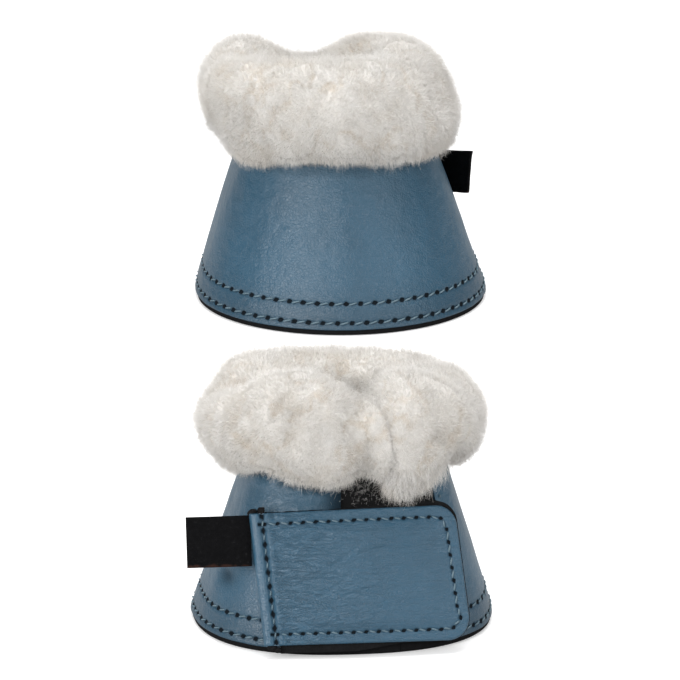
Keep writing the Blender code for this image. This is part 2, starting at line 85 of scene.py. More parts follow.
# What differs from boot to boot. turn is the way it faces, and strap_swing and strap_rise are how its tape
# rests. half_width, lean, tilt, dip and tuft shape the collar's roll. crest, lower_edge and sides push it
# out in soft bumps of (degrees, degrees wide, metres). dents in the fleece are (degrees, degrees wide,
# height, tall, metres out), and hollows in the leather the same with the strength of the painted shadow in
# them. tuft_fibres is how fully the fibres hang beside the closure, and the collar's shadow value is how
# strong the painted shadow on the leather under the fleece is.
BOOTS = (
    {
        "name": "left", "turn": math.radians(184), "seed": 11, "strap_swing": math.radians(-54),
        "strap_rise": 0.42, "half_width": 0.066, "lean": 0.0105, "tilt": 0.007, "dip": 0.012,
        "dip_length": 0.015, "tuft": 0.0035, "tuft_fibres": 0.3, "painted_collar_shadow": 0.25,
        "crest": (
            (-30, 22, 0.0048), (-42, 6, 0.0022), (-67, 15, 0.0065), (-97, 13, -0.005), (226, 26, 0.0066),
            (196, 15, 0.0042), (178, 13, 0.0062), (0, 10, -0.003),
        ),
        "lower_edge": ((90, 60, 0.0015),),
        "sides": ((178, 25, -0.0012),),
        "dents": ((356, 24, 0.09, 0.0036, -0.0034), (356, 24, 0.0815, 0.0034, 0.0016)),
        "hollows": (),
    },
    {
        "name": "right", "turn": math.radians(6), "seed": 47, "strap_swing": 0, "strap_rise": 0,
        "half_width": 0.075, "lean": -0.001, "tilt": -0.007, "dip": 0.007, "dip_length": 0.013,
        "tuft": 0.005, "tuft_fibres": 1, "painted_collar_shadow": 0.7,
        "crest": (
            (274, 18, -0.0105), (-68, 7, -0.003), (225, 20, 0.002), (84, 50, -0.0006), (182, 24, -0.0128),
            (-5, 21, -0.0092), (31, 17, -0.0034), (118, 15, 0.003),
        ),
        "lower_edge": (
            (217, 20, 0.007), (259, 8, -0.0022), (274, 9, 0.0045), (-42, 11, 0.01), (-12, 14, 0.007),
        ),
        "sides": (
            (254, 9, 0.0018), (271, 8, -0.003), (-61, 7, 0.002), (-48, 5, -0.0014), (-20, 16, 0.0006),
        ),
        "dents": ((308, 4.5, 0.112, 0.006, -0.0026), (277, 2.5, 0.108, 0.009, -0.0022)),
        "hollows": ((210, 6, 0.0335, 0.0042, -0.0012, 0.62),),
    },
)


def turn_matrix(angle):
    c, s = math.cos(angle), math.sin(angle)
    return np.array(((c, -s, 0.0), (s, c, 0.0), (0.0, 0.0, 1.0)))


def place(boot, points):
    """Boot coordinates to the row frame. The mount lies on the lining's lower edge, straight in front."""
    rest = np.array(mounts[boot["name"] + "_hem_rest"]["pos_m"])
    middle = HEM_FRONT + SLOPE * HEM_HEIGHT - LEATHER - SHEET_GAP - LINING / 2
    turn = turn_matrix(boot["turn"])
    axis = rest - turn @ np.array((0, middle, 0))
    return np.asarray(points) @ turn.T + axis


# ---------------------------------------------------------------- noise and small helpers
def smooth(x, low=0, high=1):
    """Rises softly from 0 at low to 1 at high."""
    x = np.clip((np.asarray(x, dtype=float) - low) / (high - low), 0, 1)
    return x * x * (3 - 2 * x)


def hump(x, width):
    """1 where x is zero, falling softly away over the width on both sides."""
    return np.exp(-((x / width) ** 2))


def spot(x, width, y, tall):
    """A soft round or oval spot: 1 in its middle."""
    return np.exp(-((x / width) ** 2) - (y / tall) ** 2)


def unit(vectors):
    return vectors / np.maximum(np.linalg.norm(vectors, axis=-1, keepdims=True), 1e-12)


def signed_power(x, power):
    return np.sign(x) * np.abs(x) ** power


def turned_from(a, degrees):
    """Degrees from a place on the boot to the angles a, between -180 and 180."""
    return (np.degrees(a) - degrees + 180) % 360 - 180


def lattice(i, j, k, seed):
    """A scrambled but fixed value from -1 to 1 for each point of whole numbers."""
    h = (i * 73856093) ^ (j * 19349663) ^ (k * 83492791) ^ (seed * 2654435761)
    h = (h ^ (h >> 13)) * 1274126177 & 0xFFFFFFFF
    h = (h ^ (h >> 16)) * 2246822519 & 0xFFFFFFFF
    return ((h ^ (h >> 13)) & 0xFFFFFF) / float(0xFFFFFF) * 2 - 1


def value_noise(p, seed):
    """Smooth noise from -1 to 1 with a new value at each whole number."""
    cell = np.floor(p).astype(np.int64)
    f = p - cell
    f = f * f * f * (f * (f * 6 - 15) + 10)
    total = 0
    for dx in (0, 1):
        for dy in (0, 1):
            for dz in (0, 1):
                weight = (f[..., 0] if dx else 1 - f[..., 0]) * (f[..., 1] if dy else 1 - f[..., 1])
                weight = weight * (f[..., 2] if dz else 1 - f[..., 2])
                corner = lattice(cell[..., 0] + dx, cell[..., 1] + dy, cell[..., 2] + dz, seed)
                total = total + weight * corner
    return total


def fbm(p, size, seed, octaves):
    """Smooth noise from about -1 to 1, with features of the given size in metres and finer ones on them."""
    gain, finer, apart = 0.5, 2.03, 17.3
    p = np.asarray(p) / size
    total, level = 0, 1
    for k in range(octaves):
        total = total + level * value_noise(p + apart * k, seed + k)
        p, level = p * finer, level * gain
    return total


# ---------------------------------------------------------------- meshes
def grid_quads(rows, cols, start=0, close_cols=False):
    """The faces of a grid of corners, closed to a tube where its columns go round."""
    r, c = np.meshgrid(np.arange(rows - 1), np.arange(cols if close_cols else cols - 1), indexing="ij")
    r, c = r.ravel(), c.ravel()
    r2, c2 = (r + 1) % rows, (c + 1) % cols
    return start + np.stack((r * cols + c, r * cols + c2, r2 * cols + c2, r2 * cols + c), axis=1)


def section_faces(rows, cols, reverse=False):
    """The faces of closed sections joined one after the other, with a cap at each end."""
    step = -1 if reverse else 1
    ring = np.arange(cols)[None]
    return [grid_quads(rows, cols, close_cols=True)[:, ::step], ring[:, ::-1], (rows - 1) * cols + ring]


def grid_border(rows, cols):
    """The corners round the edge of a grid, in order."""
    last = rows * cols - 1
    return np.concatenate((
        np.arange(cols - 1), np.arange(rows - 1) * cols + cols - 1,
        last - np.arange(cols - 1), (rows - 1 - np.arange(rows - 1)) * cols,
    ))


def closed_sheet_faces(rows, cols):
    """Faces of a top grid, the same grid below it, and the wall round them."""
    n = rows * cols
    top = grid_quads(rows, cols)
    loop = grid_border(rows, cols)
    after = np.roll(loop, -1)
    wall = np.stack((after, loop, loop + n, after + n), axis=1)
    return [top, top[:, ::-1] + n, wall]


def both_sides(top, under):
    """The corners or values of a sheet's upper side followed by those of its under side."""
    return np.concatenate((top.reshape(-1, *top.shape[2:]), under.reshape(-1, *under.shape[2:])))


def fill_mesh(mesh, verts, faces, attributes):
    """Fills a mesh from an array of corners, a list of arrays of faces and named values for each corner."""
    mesh.vertices.add(len(verts))
    mesh.vertices.foreach_set("co", np.asarray(verts, dtype=np.float32).ravel())
    mesh.loops.add(int(sum(f.size for f in faces)))
    mesh.loops.foreach_set("vertex_index", np.concatenate([f.ravel() for f in faces]).astype(np.int32))
    sizes = np.concatenate([np.full(len(f), f.shape[1], dtype=np.int32) for f in faces])
    mesh.polygons.add(len(sizes))
    starts = np.concatenate(([0], np.cumsum(sizes)[:-1])).astype(np.int32)
    mesh.polygons.foreach_set("loop_start", starts)
    mesh.polygons.foreach_set("use_smooth", np.ones(len(sizes), dtype=bool))
    mesh.update(calc_edges=True)
    for key, values in attributes.items():
        layer = mesh.attributes.new(key, "FLOAT", "POINT")
        layer.data.foreach_set("value", np.asarray(values, dtype=np.float32).ravel())


def make_piece(boot, label, verts, faces, look, body="boot", replaced=None, values=None, placed=False):
    """A named piece of a boot, often in place of one of its CAD nodes, with values that its material reads.

    Its corners are in boot coordinates unless they are placed already.
    """
    prefix = boot["name"] + "_"
    material, slot = LOOKS[look]
    verts = np.reshape(verts, (-1, 3))
    mesh = bpy.data.meshes.new(prefix + label)
    fill_mesh(mesh, verts if placed else place(boot, verts), faces, values or {})
    mesh.materials.append(material)
    piece = bpy.data.objects.new(prefix + label, mesh)
    bpy.context.scene.collection.objects.link(piece)
    if body:
        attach(piece, prefix + body)
    if replaced:
        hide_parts(prefix + replaced)
    return piece


def many_rings(count, rings, sides):
    """The faces of many small solids of equal rings: their walls, their first caps and their last caps."""
    starts = np.arange(count)[:, None, None] * rings * sides
    walls = (grid_quads(rings, sides, close_cols=True)[None] + starts).reshape(-1, 4)
    first = np.arange(sides)[None] + starts[:, 0]
    return walls, first[:, ::-1], first + (rings - 1) * sides


def tubes(paths, radii, sides, up):
    """Closed tubes along paths (count, points, 3), with radii for the points and an up for each path."""
    count, points = paths.shape[:2]
    along = unit(np.gradient(paths, axis=1))
    side = unit(np.cross(along, np.broadcast_to(up[:, None, :], along.shape)))
    lift = np.cross(side, along)
    turn = np.arange(sides) * math.tau / sides
    radii = np.broadcast_to(radii, (count, points))[:, :, None, None]
    ring = side[:, :, None, :] * np.cos(turn)[None, None, :, None]
    ring = ring + lift[:, :, None, :] * np.sin(turn)[None, None, :, None]
    return paths[:, :, None, :] + ring * radii, many_rings(count, points, sides)


# ---------------------------------------------------------------- surfaces
def bell_radius(a, z, offset=0):
    """The bell's radius at an angle and a height: round in front, squarer at the back."""
    a, z = np.broadcast_arrays(np.asarray(a, dtype=float), np.asarray(z, dtype=float))
    shrink = SLOPE * (z - HEM_HEIGHT)
    front = np.sin(a) >= 0
    power = np.where(front, 2, HEM_SQUARENESS + (TOP_SQUARENESS - HEM_SQUARENESS) * z / SHELL_TOP)
    reach = np.where(front, HEM_FRONT, HEM_BACK) - shrink
    across = np.abs(np.cos(a)) / (HEM_HALF_WIDTH - shrink)
    along = np.abs(np.sin(a)) / reach
    return (across ** power + along ** power) ** (-1 / power) + offset


def round_axis(a, radius, z):
    """Points round the bell's axis, which leans a little to one side."""
    a, radius, z = np.broadcast_arrays(a, radius, z)
    return np.stack((SIDE_LEAN * z + radius * np.cos(a), radius * np.sin(a), z), axis=-1)


def bell(a, z, offset=0):
    """Points on the bell, or at an offset outside it."""
    return round_axis(a, bell_radius(a, z, offset), z)


def flap_left(v):
    return FLAP_BOTTOM_LEFT + (FLAP_TOP_LEFT - FLAP_BOTTOM_LEFT) * v / FLAP_HEIGHT


def flap_right(v):
    return FLAP_BOTTOM_RIGHT + (FLAP_TOP_RIGHT - FLAP_BOTTOM_RIGHT) * v / FLAP_HEIGHT


FLAP_ACROSS = np.array((1.0, 0.0, 0.0))
FLAP_UP = np.array((0, math.sin(LEAN), math.cos(LEAN)))
FLAP_OUT = np.cross(FLAP_ACROSS, FLAP_UP)
FLAP_ORIGIN = np.array((
    0,
    -(HEM_BACK - SLOPE * (FLAP_BOTTOM - HEM_HEIGHT) + (FLAP_CLEARANCE + FLAP_THICKNESS) / math.cos(LEAN)),
    FLAP_BOTTOM,
))


def flap_xyz(u, v, w):
    """A point of the flap: u across it, v up it and w out of it, on a slightly bent plane."""
    u, v, w = np.broadcast_arrays(*(np.asarray(x, dtype=float) for x in (u, v, w)))
    bend = (u - FLAP_CREST) ** 2 / (2 * FLAP_BEND)
    rise = FLAP_RISE * (u - FLAP_TOP_LEFT) / (FLAP_TOP_RIGHT - FLAP_TOP_LEFT) * v / FLAP_HEIGHT
    v, w = v + rise, w - bend
    return FLAP_ORIGIN + u[..., None] * FLAP_ACROSS + v[..., None] * FLAP_UP + w[..., None] * FLAP_OUT


def corner_cut(depth, radius):
    """How far a rounded corner draws its side in, at a depth from the corner's end."""
    beyond = np.maximum(radius - depth, 0)
    return radius - np.sqrt(np.maximum(radius ** 2 - beyond ** 2, 0))


def edge_distance(u, v):
    """Distance from a point of the flap to the nearest free edge, with the two right corners rounded."""
    top_centre = FLAP_HEIGHT - FLAP_TOP_RADIUS
    d = np.minimum(np.minimum(v, FLAP_HEIGHT - v), flap_right(v) - u)
    for radius, centre_v, beyond in (
        (FLAP_BOTTOM_RADIUS, FLAP_BOTTOM_RADIUS, v < FLAP_BOTTOM_RADIUS),
        (FLAP_TOP_RADIUS, top_centre, v > top_centre),
    ):
        centre_u = flap_right(v) - radius
        inside = (u > centre_u) & beyond
        d = np.where(inside, radius - np.hypot(u - centre_u, v - centre_v), d)
    return d


# ---------------------------------------------------------------- materials
def new_material(name):
    material = bpy.data.materials.new(name)
    material.use_nodes = True
    return material, material.node_tree


def feed(tree, socket, value):
    """Links another node's output to an input, or sets a constant on it."""
    if hasattr(value, "links"):
        tree.links.new(value, socket)
    else:
        socket.default_value = value


def surface(tree, **values):
    """Feeds the inputs of a material's own shader."""
    shader = tree.nodes["Principled BSDF"]
    for key, value in values.items():
        feed(tree, shader.inputs[key.replace("_", " ")], value)
    return shader.outputs[0]


def node(tree, kind, **values):
    """A new node. Names with in_ before them are its inputs, and the others are its settings."""
    made = tree.nodes.new(kind)
    for key, value in values.items():
        if key.startswith("in_"):
            feed(tree, made.inputs[key[3:].replace("_", " ")], value)
        else:
            setattr(made, key, value)
    return made


def mix(tree, factor, a, b, kind="RGBA", blend="MIX"):
    made = node(tree, "ShaderNodeMix", data_type=kind)
    if kind == "RGBA":
        made.blend_type = blend
    *places, result = {"RGBA": (0, 6, 7, 2), "FLOAT": (0, 2, 3, 0)}[kind]
    for index, value in zip(places, (factor, a, b)):
        feed(tree, made.inputs[index], value)
    return made.outputs[result]


def grey(level):
    return (level, level, level, 1)


def ramp(tree, value, *stops, interpolation="LINEAR"):
    """A colour ramp with stops of (position, colour), where the colour may be a grey level."""
    made = tree.nodes.new("ShaderNodeValToRGB")
    made.color_ramp.interpolation = interpolation
    elements = made.color_ramp.elements
    while len(elements) < len(stops):
        elements.new(0.5)
    for element, (position, colour) in zip(elements, stops):
        element.position = position
        element.color = (*colour, 1) if isinstance(colour, tuple) else grey(colour)
    tree.links.new(value, made.inputs[0])
    return made.outputs[0]


def bump(tree, height, strength, distance, normal=None):
    made = node(tree, "ShaderNodeBump", in_Strength=strength, in_Distance=distance, in_Height=height)
    if normal is not None:
        tree.links.new(normal, made.inputs["Normal"])
    return made.outputs["Normal"]


def coordinates(tree, scale=(1, 1, 1)):
    where = tree.nodes.new("ShaderNodeTexCoord").outputs["Object"]
    return node(tree, "ShaderNodeMapping", in_Scale=scale, in_Vector=where).outputs["Vector"]


def attribute(tree, name):
    return node(tree, "ShaderNodeAttribute", attribute_name=name).outputs["Fac"]


def noise(tree, vector, scale, detail, roughness=0.5, distortion=0):
    return node(
        tree, "ShaderNodeTexNoise", in_Vector=vector, in_Scale=scale, in_Detail=detail,
        in_Roughness=roughness, in_Distortion=distortion,
    )


def cells(tree, vector, scale, randomness, feature="F1"):
    made = node(tree, "ShaderNodeTexVoronoi", feature=feature, in_Vector=vector, in_Scale=scale)
    made.inputs["Randomness"].default_value = randomness
    return made.outputs["Distance"]


def pebble_grain(tree, vector):
    """Rounded cells with dark lines between them, their edges a little wavy."""
    warp = noise(tree, vector, 420, 2).outputs["Color"]
    wander = node(tree, "ShaderNodeVectorMath", operation="MULTIPLY_ADD")
    for socket, value in zip(wander.inputs, (warp, (0.0013, 0.0013, 0.0013), vector)):
        feed(tree, socket, value)
    edges = cells(tree, wander.outputs[0], 660, 1, "DISTANCE_TO_EDGE")
    return ramp(tree, edges, (0, 0.2), (0.12, 0.8), (0.26, 1), interpolation="B_SPLINE")


def crease_lines(tree, flow):
    """Soft lines stretched along the flow, where the wrinkle value lets them show."""
    creases = noise(tree, coordinates(tree, flow), 300, 4, 0.6, 0.6).outputs["Fac"]
    lines = ramp(tree, creases, (0.4, 0.7), (0.49, 0.1), (0.56, 0.75), (0.72, 1))
    return mix(tree, attribute(tree, "wrinkle"), grey(0.7), lines)


def leather_material(name, colour, flow, crease_strength):
    """Faux leather: pebble grain, creases and small changes of tone, with painted shade, dark and dull, in
    needle holes and other shaded places.
    """
    material, tree = new_material(name)
    vector = coordinates(tree)
    patches = noise(tree, vector, 38, 4, 0.6).outputs["Fac"]
    dark, light = (tuple(c * share for c in colour) for share in (0.9, 1.07))
    shade = ramp(tree, patches, (0.3, dark), (0.52, colour), (0.75, light))
    pebbles, creases = pebble_grain(tree, vector), crease_lines(tree, flow)
    pits = noise(tree, vector, 1900, 3, 0.65).outputs["Fac"]
    swells = noise(tree, vector, 190, 2).outputs["Fac"]
    # The lines between pebbles and in the creases darken the colour a little: partly the grain's own tone,
    # partly painted shade in these recesses.
    for lines in (pebbles, creases):
        shade = mix(tree, 0.08, shade, lines, blend="MULTIPLY")
    # Painted shade: the low value darkens the leather towards the hem, where less light falls.
    shade = mix(tree, attribute(tree, "low"), shade, grey(0.62), blend="MULTIPLY")
    # The hole value is painted shade: needle holes, their rows' groove, the seam's valley, under the fleece,
    # the shell's left end and hollows.
    hole = attribute(tree, "hole")
    rough = ramp(tree, pits, (0.25, 0.3), (0.75, 0.42))
    normal = bump(tree, swells, 0.6, 0.0011)
    normal = bump(tree, creases, crease_strength, 0.00074, normal)
    normal = bump(tree, pebbles, 0.46, 0.0003, normal)
    # Where that painted shade is, the leather is near black, rough and without its sheen.
    surface(
        tree, Base_Color=mix(tree, hole, shade, (0.003, 0.0075, 0.0125, 1)),
        Roughness=mix(tree, hole, rough, grey(0.9)),
        Specular_IOR_Level=mix(tree, hole, 0.82, 0.12, kind="FLOAT"),
        Normal=bump(tree, pits, 0.25, 0.00014, normal),
    )
    return material


def black_material(name, colour, scale, strength, rough=0.9, sheen=0):
    """Black fabric or foam: a fine knit or weave with a little lint grey in it."""
    material, tree = new_material(name)
    vector = coordinates(tree)
    weave = cells(tree, vector, scale, 0.55)
    fuzz = noise(tree, vector, scale * 0.35, 5, 0.7).outputs["Fac"]
    shade = ramp(tree, fuzz, (0.35, colour), (0.75, tuple(c * 2.1 for c in colour)))
    surface(
        tree, Base_Color=mix(tree, 0.5, shade, weave, blend="MULTIPLY"), Roughness=rough,
        Specular_IOR_Level=0.25, Sheen_Weight=sheen, Normal=bump(tree, weave, strength, 0.0003),
    )
    return material


def tape_material(name):
    """Woven black tape with lint on it and a browner frayed edge. Its own u and v count the threads."""
    material, tree = new_material(name)
    tape_u, tape_v = attribute(tree, "tape_u"), attribute(tree, "tape_v")
    joined = node(tree, "ShaderNodeCombineXYZ", in_X=tape_u, in_Y=tape_v)
    checks = cells(tree, joined.outputs[0], 1, 0.25)
    lint_spots = noise(tree, coordinates(tree), 420, 6, 0.75).outputs["Fac"]
    shade = ramp(
        tree, lint_spots, (0.4, (0.0022, 0.0022, 0.003)), (0.6, (0.0045, 0.0045, 0.0055)),
        (0.66, (0.014, 0.014, 0.016)), (0.8, (0.045, 0.044, 0.044)),
    )
    shade = mix(tree, 0.55, shade, checks, blend="MULTIPLY")
    surface(
        tree, Base_Color=mix(tree, attribute(tree, "frayed"), shade, (0.03, 0.013, 0.009, 1)), Roughness=0.82,
        Specular_IOR_Level=0.12, Normal=bump(tree, checks, 0.55, 0.00035),
    )
    return material


def thread_material(name, colour, rough):
    """Sewing thread with a fine darker twist."""
    material, tree = new_material(name)
    twist = noise(tree, coordinates(tree), 2600, 2).outputs["Fac"]
    shade = ramp(tree, twist, (0.3, tuple(c * 0.6 for c in colour)), (0.7, colour))
    surface(tree, Base_Color=shade, Roughness=rough, Normal=bump(tree, twist, 0.3, 0.0001))
    return material


def fleece_material(name):
    """The fleece under its fibres: creamy, with painted shade that makes it warmer and darker in the valleys
    and dark on its under side.
    """
    material, tree = new_material(name)
    vector = coordinates(tree)
    tufts = noise(tree, vector, 95, 6, 0.65).outputs["Fac"]
    fine = noise(tree, vector, 1500, 3, 0.7).outputs["Fac"]
    shade = ramp(
        tree, tufts, (0.3, (0.62, 0.58, 0.53)), (0.48, (0.69, 0.665, 0.63)), (0.7, (0.72, 0.705, 0.68)),
    )
    # Painted shade: low places in the billows are darker and warmer.
    valleys = ramp(tree, attribute(tree, "height"), (0, (0.88, 0.83, 0.77)), (0.55, 1))
    shade = mix(tree, 1, shade, valleys, blend="MULTIPLY")
    # Painted shadow: the roll's under side is dark brown-grey.
    surface(
        tree, Base_Color=mix(tree, attribute(tree, "under"), shade, (0.13, 0.11, 0.095, 1)), Roughness=1,
        Specular_IOR_Level=0.1, Normal=bump(tree, fine, 0.6, 0.0006),
    )
    return material


def fibre_material(name, colour):
    material, tree = new_material(name)
    surface(tree, Base_Color=(*colour, 1), Roughness=0.75, Specular_IOR_Level=0.2)
    return material


# Each look is a material and the name of its slot.
LOOKS = {
    "shell": (leather_material("leather_shell", (0.0225, 0.091, 0.154), (0.8, 0.8, 1.1), 0.34), "leather"),
    "flap": (leather_material("leather_flap", (0.0215, 0.089, 0.152), (0.36, 0.36, 1.45), 0.86), "leather"),
    "thread": (thread_material("thread_dark", (0.155, 0.24, 0.29), 0.34), "thread"),
    # The needle holes' dark pieces are painted shade.
    "hole": (black_material("needle_hole_shade", (0.0026, 0.006, 0.0095), 2400, 0.2, rough=1), "leather"),
    "light_thread": (thread_material("thread_light", (0.1, 0.15, 0.18), 0.45), "light_thread"),
    "lining": (black_material("lining_neoprene", (0.0045, 0.0045, 0.0052), 1700, 0.35), "lining"),
    "loop": (black_material("loop_pile", (0.005, 0.005, 0.0055), 900, 0.9, sheen=0.1), "loop"),
    "hook": (black_material("hook_tape", (0.0055, 0.0055, 0.0062), 800, 0.8), "hook"),
    "fleece": (fleece_material("fleece_ground"), "fleece"),
    "tape": (tape_material("tape_woven"), "tape"),
}
# The warmer, darker colours stand partly for painted shade in valleys, recesses and under the roll.
FIBRES = {
    "fibre_white": (0.9, 0.88, 0.85), "fibre_pearl": (0.89, 0.865, 0.825), "fibre_cream": (0.875, 0.84, 0.79),
    "fibre_beige": (0.85, 0.8, 0.74), "fibre_brown": (0.66, 0.59, 0.52),
}
for shade_name, shade_colour in FIBRES.items():
    LOOKS[shade_name] = (fibre_material("fleece_" + shade_name, shade_colour), "fleece")


# ---------------------------------------------------------------- stitching
PITCH, END_PITCH = 0.0079, 0.0046
THREAD_RADIUS, THREAD_SIDES = 0.00046, 7
THREAD_LIFT, THREAD_SINK = 0.00036, 0.0006
HEM_HOLE_TURN, HEM_HOLE_SIZE = math.radians(20), (0.00175, 0.00145)
HOLE_SIDES, HEM_HOLE_LIFT, FLAP_HOLE_LIFT = 16, 0.00046, 0.00044
HOLE_RINGS = ((1, 0), (0.72, -0.00012), (0.3, -0.0003))
ROW_FROM_END, ROW_STOP, UPPER_ROW_EXTRA = 0.005, math.radians(236), 0.03
CLOSURE_FOLDS = 238  # degrees round the boot


def walk(points, pitch):
    """The lengths along a path of equal steps of about one pitch, and the length up to each of its points."""
    steps = np.linalg.norm(np.diff(points, axis=0), axis=1)
    length = np.concatenate(([0], np.cumsum(steps)))
    count = max(int(round(length[-1] / pitch)), 1)
    return np.linspace(0, length[-1], count + 1), length


def stitch_tubes(holes, normal, slant, gaps=(0.0014, 0.002)):
    """One bowed thread from each needle hole to the next. slant is a small shift across the row."""
    start, stop, normal, slant = holes[:-1], holes[1:], normal[:-1], slant[:-1]
    along = unit(stop - start)
    start, stop = start + along * gaps[0], stop - along * gaps[1]
    t = np.linspace(0, 1, 9)
    arch = np.sin(np.pi * t) ** 0.5
    path = start[:, None, :] * (1 - t)[None, :, None] + stop[:, None, :] * t[None, :, None]
    path = path + slant[:, None, :] * (t - 0.5)[None, :, None]
    path = path + normal[:, None, :] * (arch * (THREAD_LIFT + THREAD_SINK) - THREAD_SINK)[None, :, None]
    return tubes(path, THREAD_RADIUS * (0.6 + 0.4 * arch), THREAD_SIDES, normal)


def hole_mask(along, across, pitch, slant, half_length=0.00255, half_width=0.0021):
    """1 in a diamond-shaped needle hole, 0 away from it, and 0.45 on a thin groove along the row. It dents
    the relief, and in colour it is painted shade. along is measured from the row's first hole.
    """
    s = (along / pitch - np.round(along / pitch)) * pitch
    c, k = math.cos(slant), math.sin(slant)
    x, y = s * c + across * k, -s * k + across * c
    round_part = np.hypot(x / half_length, y / half_width) * 0.75
    diamond_part = (np.abs(x) / half_length + np.abs(y) / half_width) * 0.5
    # The groove is a dent and, in colour, a painted shadow line under the threads.
    groove = 0.45 * hump(across, 0.00045)
    return np.maximum(smooth(1.25 - round_part - diamond_part), groove)


def painted_hole_shades(points, normal, along, turn, half_size, rng):
    """A dark dished diamond in each needle hole, none quite like the next: painted shade, a dark piece where
    the hole is in shade.
    """
    count = len(points)
    across = unit(np.cross(normal, along))
    along = np.cross(across, normal)
    angle = np.arange(HOLE_SIDES) * math.tau / HOLE_SIDES
    x, y = signed_power(np.cos(angle), 1.8), signed_power(np.sin(angle), 1.8)
    twist = turn + rng.normal(size=count) * 0.16
    size = 1 + rng.normal(size=(count, 2)) * 0.1
    c, k = np.cos(twist)[:, None], np.sin(twist)[:, None]
    rings = []
    for share, level in HOLE_RINGS:
        s = x[None] * half_size[0] * size[:, :1] * share
        t = y[None] * half_size[1] * size[:, 1:] * share
        s, t = s * c - t * k, s * k + t * c
        ring = points[:, None] + s[..., None] * along[:, None] + t[..., None] * across[:, None]
        rings.append(ring + level * normal[:, None])
    walls, _, bottoms = many_rings(count, len(rings), HOLE_SIDES)
    return np.stack(rings, axis=1), (walls, bottoms)


# ---------------------------------------------------------------- the leather bell
def hem_row(z):
    """A row from the shell's right end to the flap's sewn strip.

    It is given as angles, the length of the row up to each, and the lengths at which its needle holes lie.
    """
    start = SHELL_RIGHT + ROW_FROM_END / bell_radius(SHELL_RIGHT, z)
    stop = ROW_STOP + (UPPER_ROW_EXTRA if z > LOWER_ROW else 0)
    angles = np.linspace(float(start), float(stop), 600)
    at, length = walk(bell(angles, z), PITCH)
    return angles, length, at


def shell_wrinkle(a, z):
    """How strongly fine wrinkles show: little, but more beside the closure and under the collar."""
    fold = hump(np.degrees(a) - CLOSURE_FOLDS, 24) * smooth(z, 0.066, 0.08)
    return np.clip(0.25 + 0.75 * fold + 0.25 * smooth(z, 0.07, 0.084), 0, 1)


def painted_shell_shadow(boot, a, z):
    """The painted shadow on the leather: close under the fleece, and at the shell's left end under the
    closure.
    """
    ragged = 0.0014 * fbm(bell(a, z), 0.003, boot["seed"] + 12, 2)
    contact = 0.0812 + ragged + bumps(a, boot["lower_edge"])
    collar_shadow = boot["painted_collar_shadow"] * smooth(z, contact - 0.003, contact + 0.0015)
    from_end = (SHELL_LEFT - a) * bell_radius(a, z)
    return np.maximum(collar_shadow, 0.88 * hump(from_end, 0.0095) * smooth(z, 0.06, 0.071))


def shell_relief(boot, a, z):
    """How far the leather stands out of the plain bell, and its painted shade: in holes, grooves, hollows,
    under the fleece and at its left end.
    """
    swell, ripple, fold_lift, band_lift = 0.00028, 0.00022, 0.0015, 0.00018
    row_dip, hole_dip = 0.00022, 0.00045
    points, seed = bell(a, z), boot["seed"]
    out = swell * fbm(points, 0.045, seed, 3) + ripple * fbm(points * (1, 1, 0.6), 0.014, seed + 5, 2)
    hole = np.zeros_like(out)
    for row in (LOWER_ROW, UPPER_ROW):
        angles, length, at = hem_row(row)
        along = np.interp(a, angles, length, left=-1, right=-1)
        across = (z - row) / math.cos(LEAN)
        near = (along >= 0) & (np.abs(across) < 0.004)
        mask = np.where(near, hole_mask(along, across, at[1] - at[0], HEM_HOLE_TURN), 0)
        out = out - row_dip * hump(across, 0.0012) * (along >= 0) - hole_dip * mask
        hole = np.maximum(hole, mask)
    # Painted shadow under the fleece and at the shell's left end.
    hole = np.maximum(hole, painted_shell_shadow(boot, a, z))
    # Each hollow is a dent darkened with painted shadow, such as the strap's shadow on the shell.
    for degrees, width, level, tall, depth, shade in boot["hollows"]:
        near = spot(np.degrees(a) - degrees, width, z - level, tall)
        out, hole = out + depth * near, np.maximum(hole, shade * near)
    beside_closure = hump(np.degrees(a) - CLOSURE_FOLDS, 22) * smooth(z, 0.07, 0.083)
    fold = fbm(points * (0.35, 0.35, 1) + z[..., None] * (0.25, 0, 0), 0.0052, seed + 9, 2)
    out = out + fold_lift * beside_closure * fold
    between_rows = smooth(z, LOWER_ROW, LOWER_ROW + 0.003) * (1 - smooth(z, UPPER_ROW - 0.003, UPPER_ROW))
    return out + band_lift * between_rows, hole


HEM_EDGE, HEM_ROUNDING = np.array((0.003, 0.0031, 0.0033, 0.00365)), (0.0006, 0.00036, 0.00013, 0)
FINE_HEIGHTS, COARSE_HEIGHTS = np.arange(0.0041, 0.0205, 0.0004), np.linspace(0.0209, 0.1035, 58)
INNER_HEIGHTS, TOP_ROUND = (0.1038, 0.103, 0.085, 0.06, 0.04, 0.02, 0.0035, 0.003), 0.1035


def leather_bell(boot):
    """The outer leather: a relief outside, a plain sheet inside, with its edges rounded."""
    a = np.linspace(SHELL_RIGHT, SHELL_LEFT, 880)
    z = np.concatenate((HEM_EDGE, FINE_HEIGHTS, COARSE_HEIGHTS))
    grid_a, grid_z = np.meshgrid(a, z, indexing="ij")
    relief, hole = shell_relief(boot, grid_a, grid_z)
    rounding = np.interp(grid_z, HEM_EDGE, HEM_ROUNDING)
    outer = bell(grid_a, grid_z, relief - rounding)
    inner_a, inner_z = np.meshgrid(a, INNER_HEIGHTS, indexing="ij")
    inner = bell(inner_a, inner_z, -np.where(inner_z > TOP_ROUND, LEATHER / 2, LEATHER))
    section = np.concatenate((outer, inner), axis=1)
    # Painted shade for the material: darker towards the hem.
    low = 0.75 * (1 - smooth(grid_z, 0.004, 0.032))
    values = {"hole": hole, "wrinkle": shell_wrinkle(grid_a, grid_z), "low": low}
    plain = np.zeros(inner.shape[:2])
    values = {key: np.concatenate((outside, plain), axis=1) for key, outside in values.items()}
    faces = section_faces(*section.shape[:2], reverse=True)
    make_piece(boot, "leather_bell", section, faces, "shell", replaced="outer_shell", values=values)


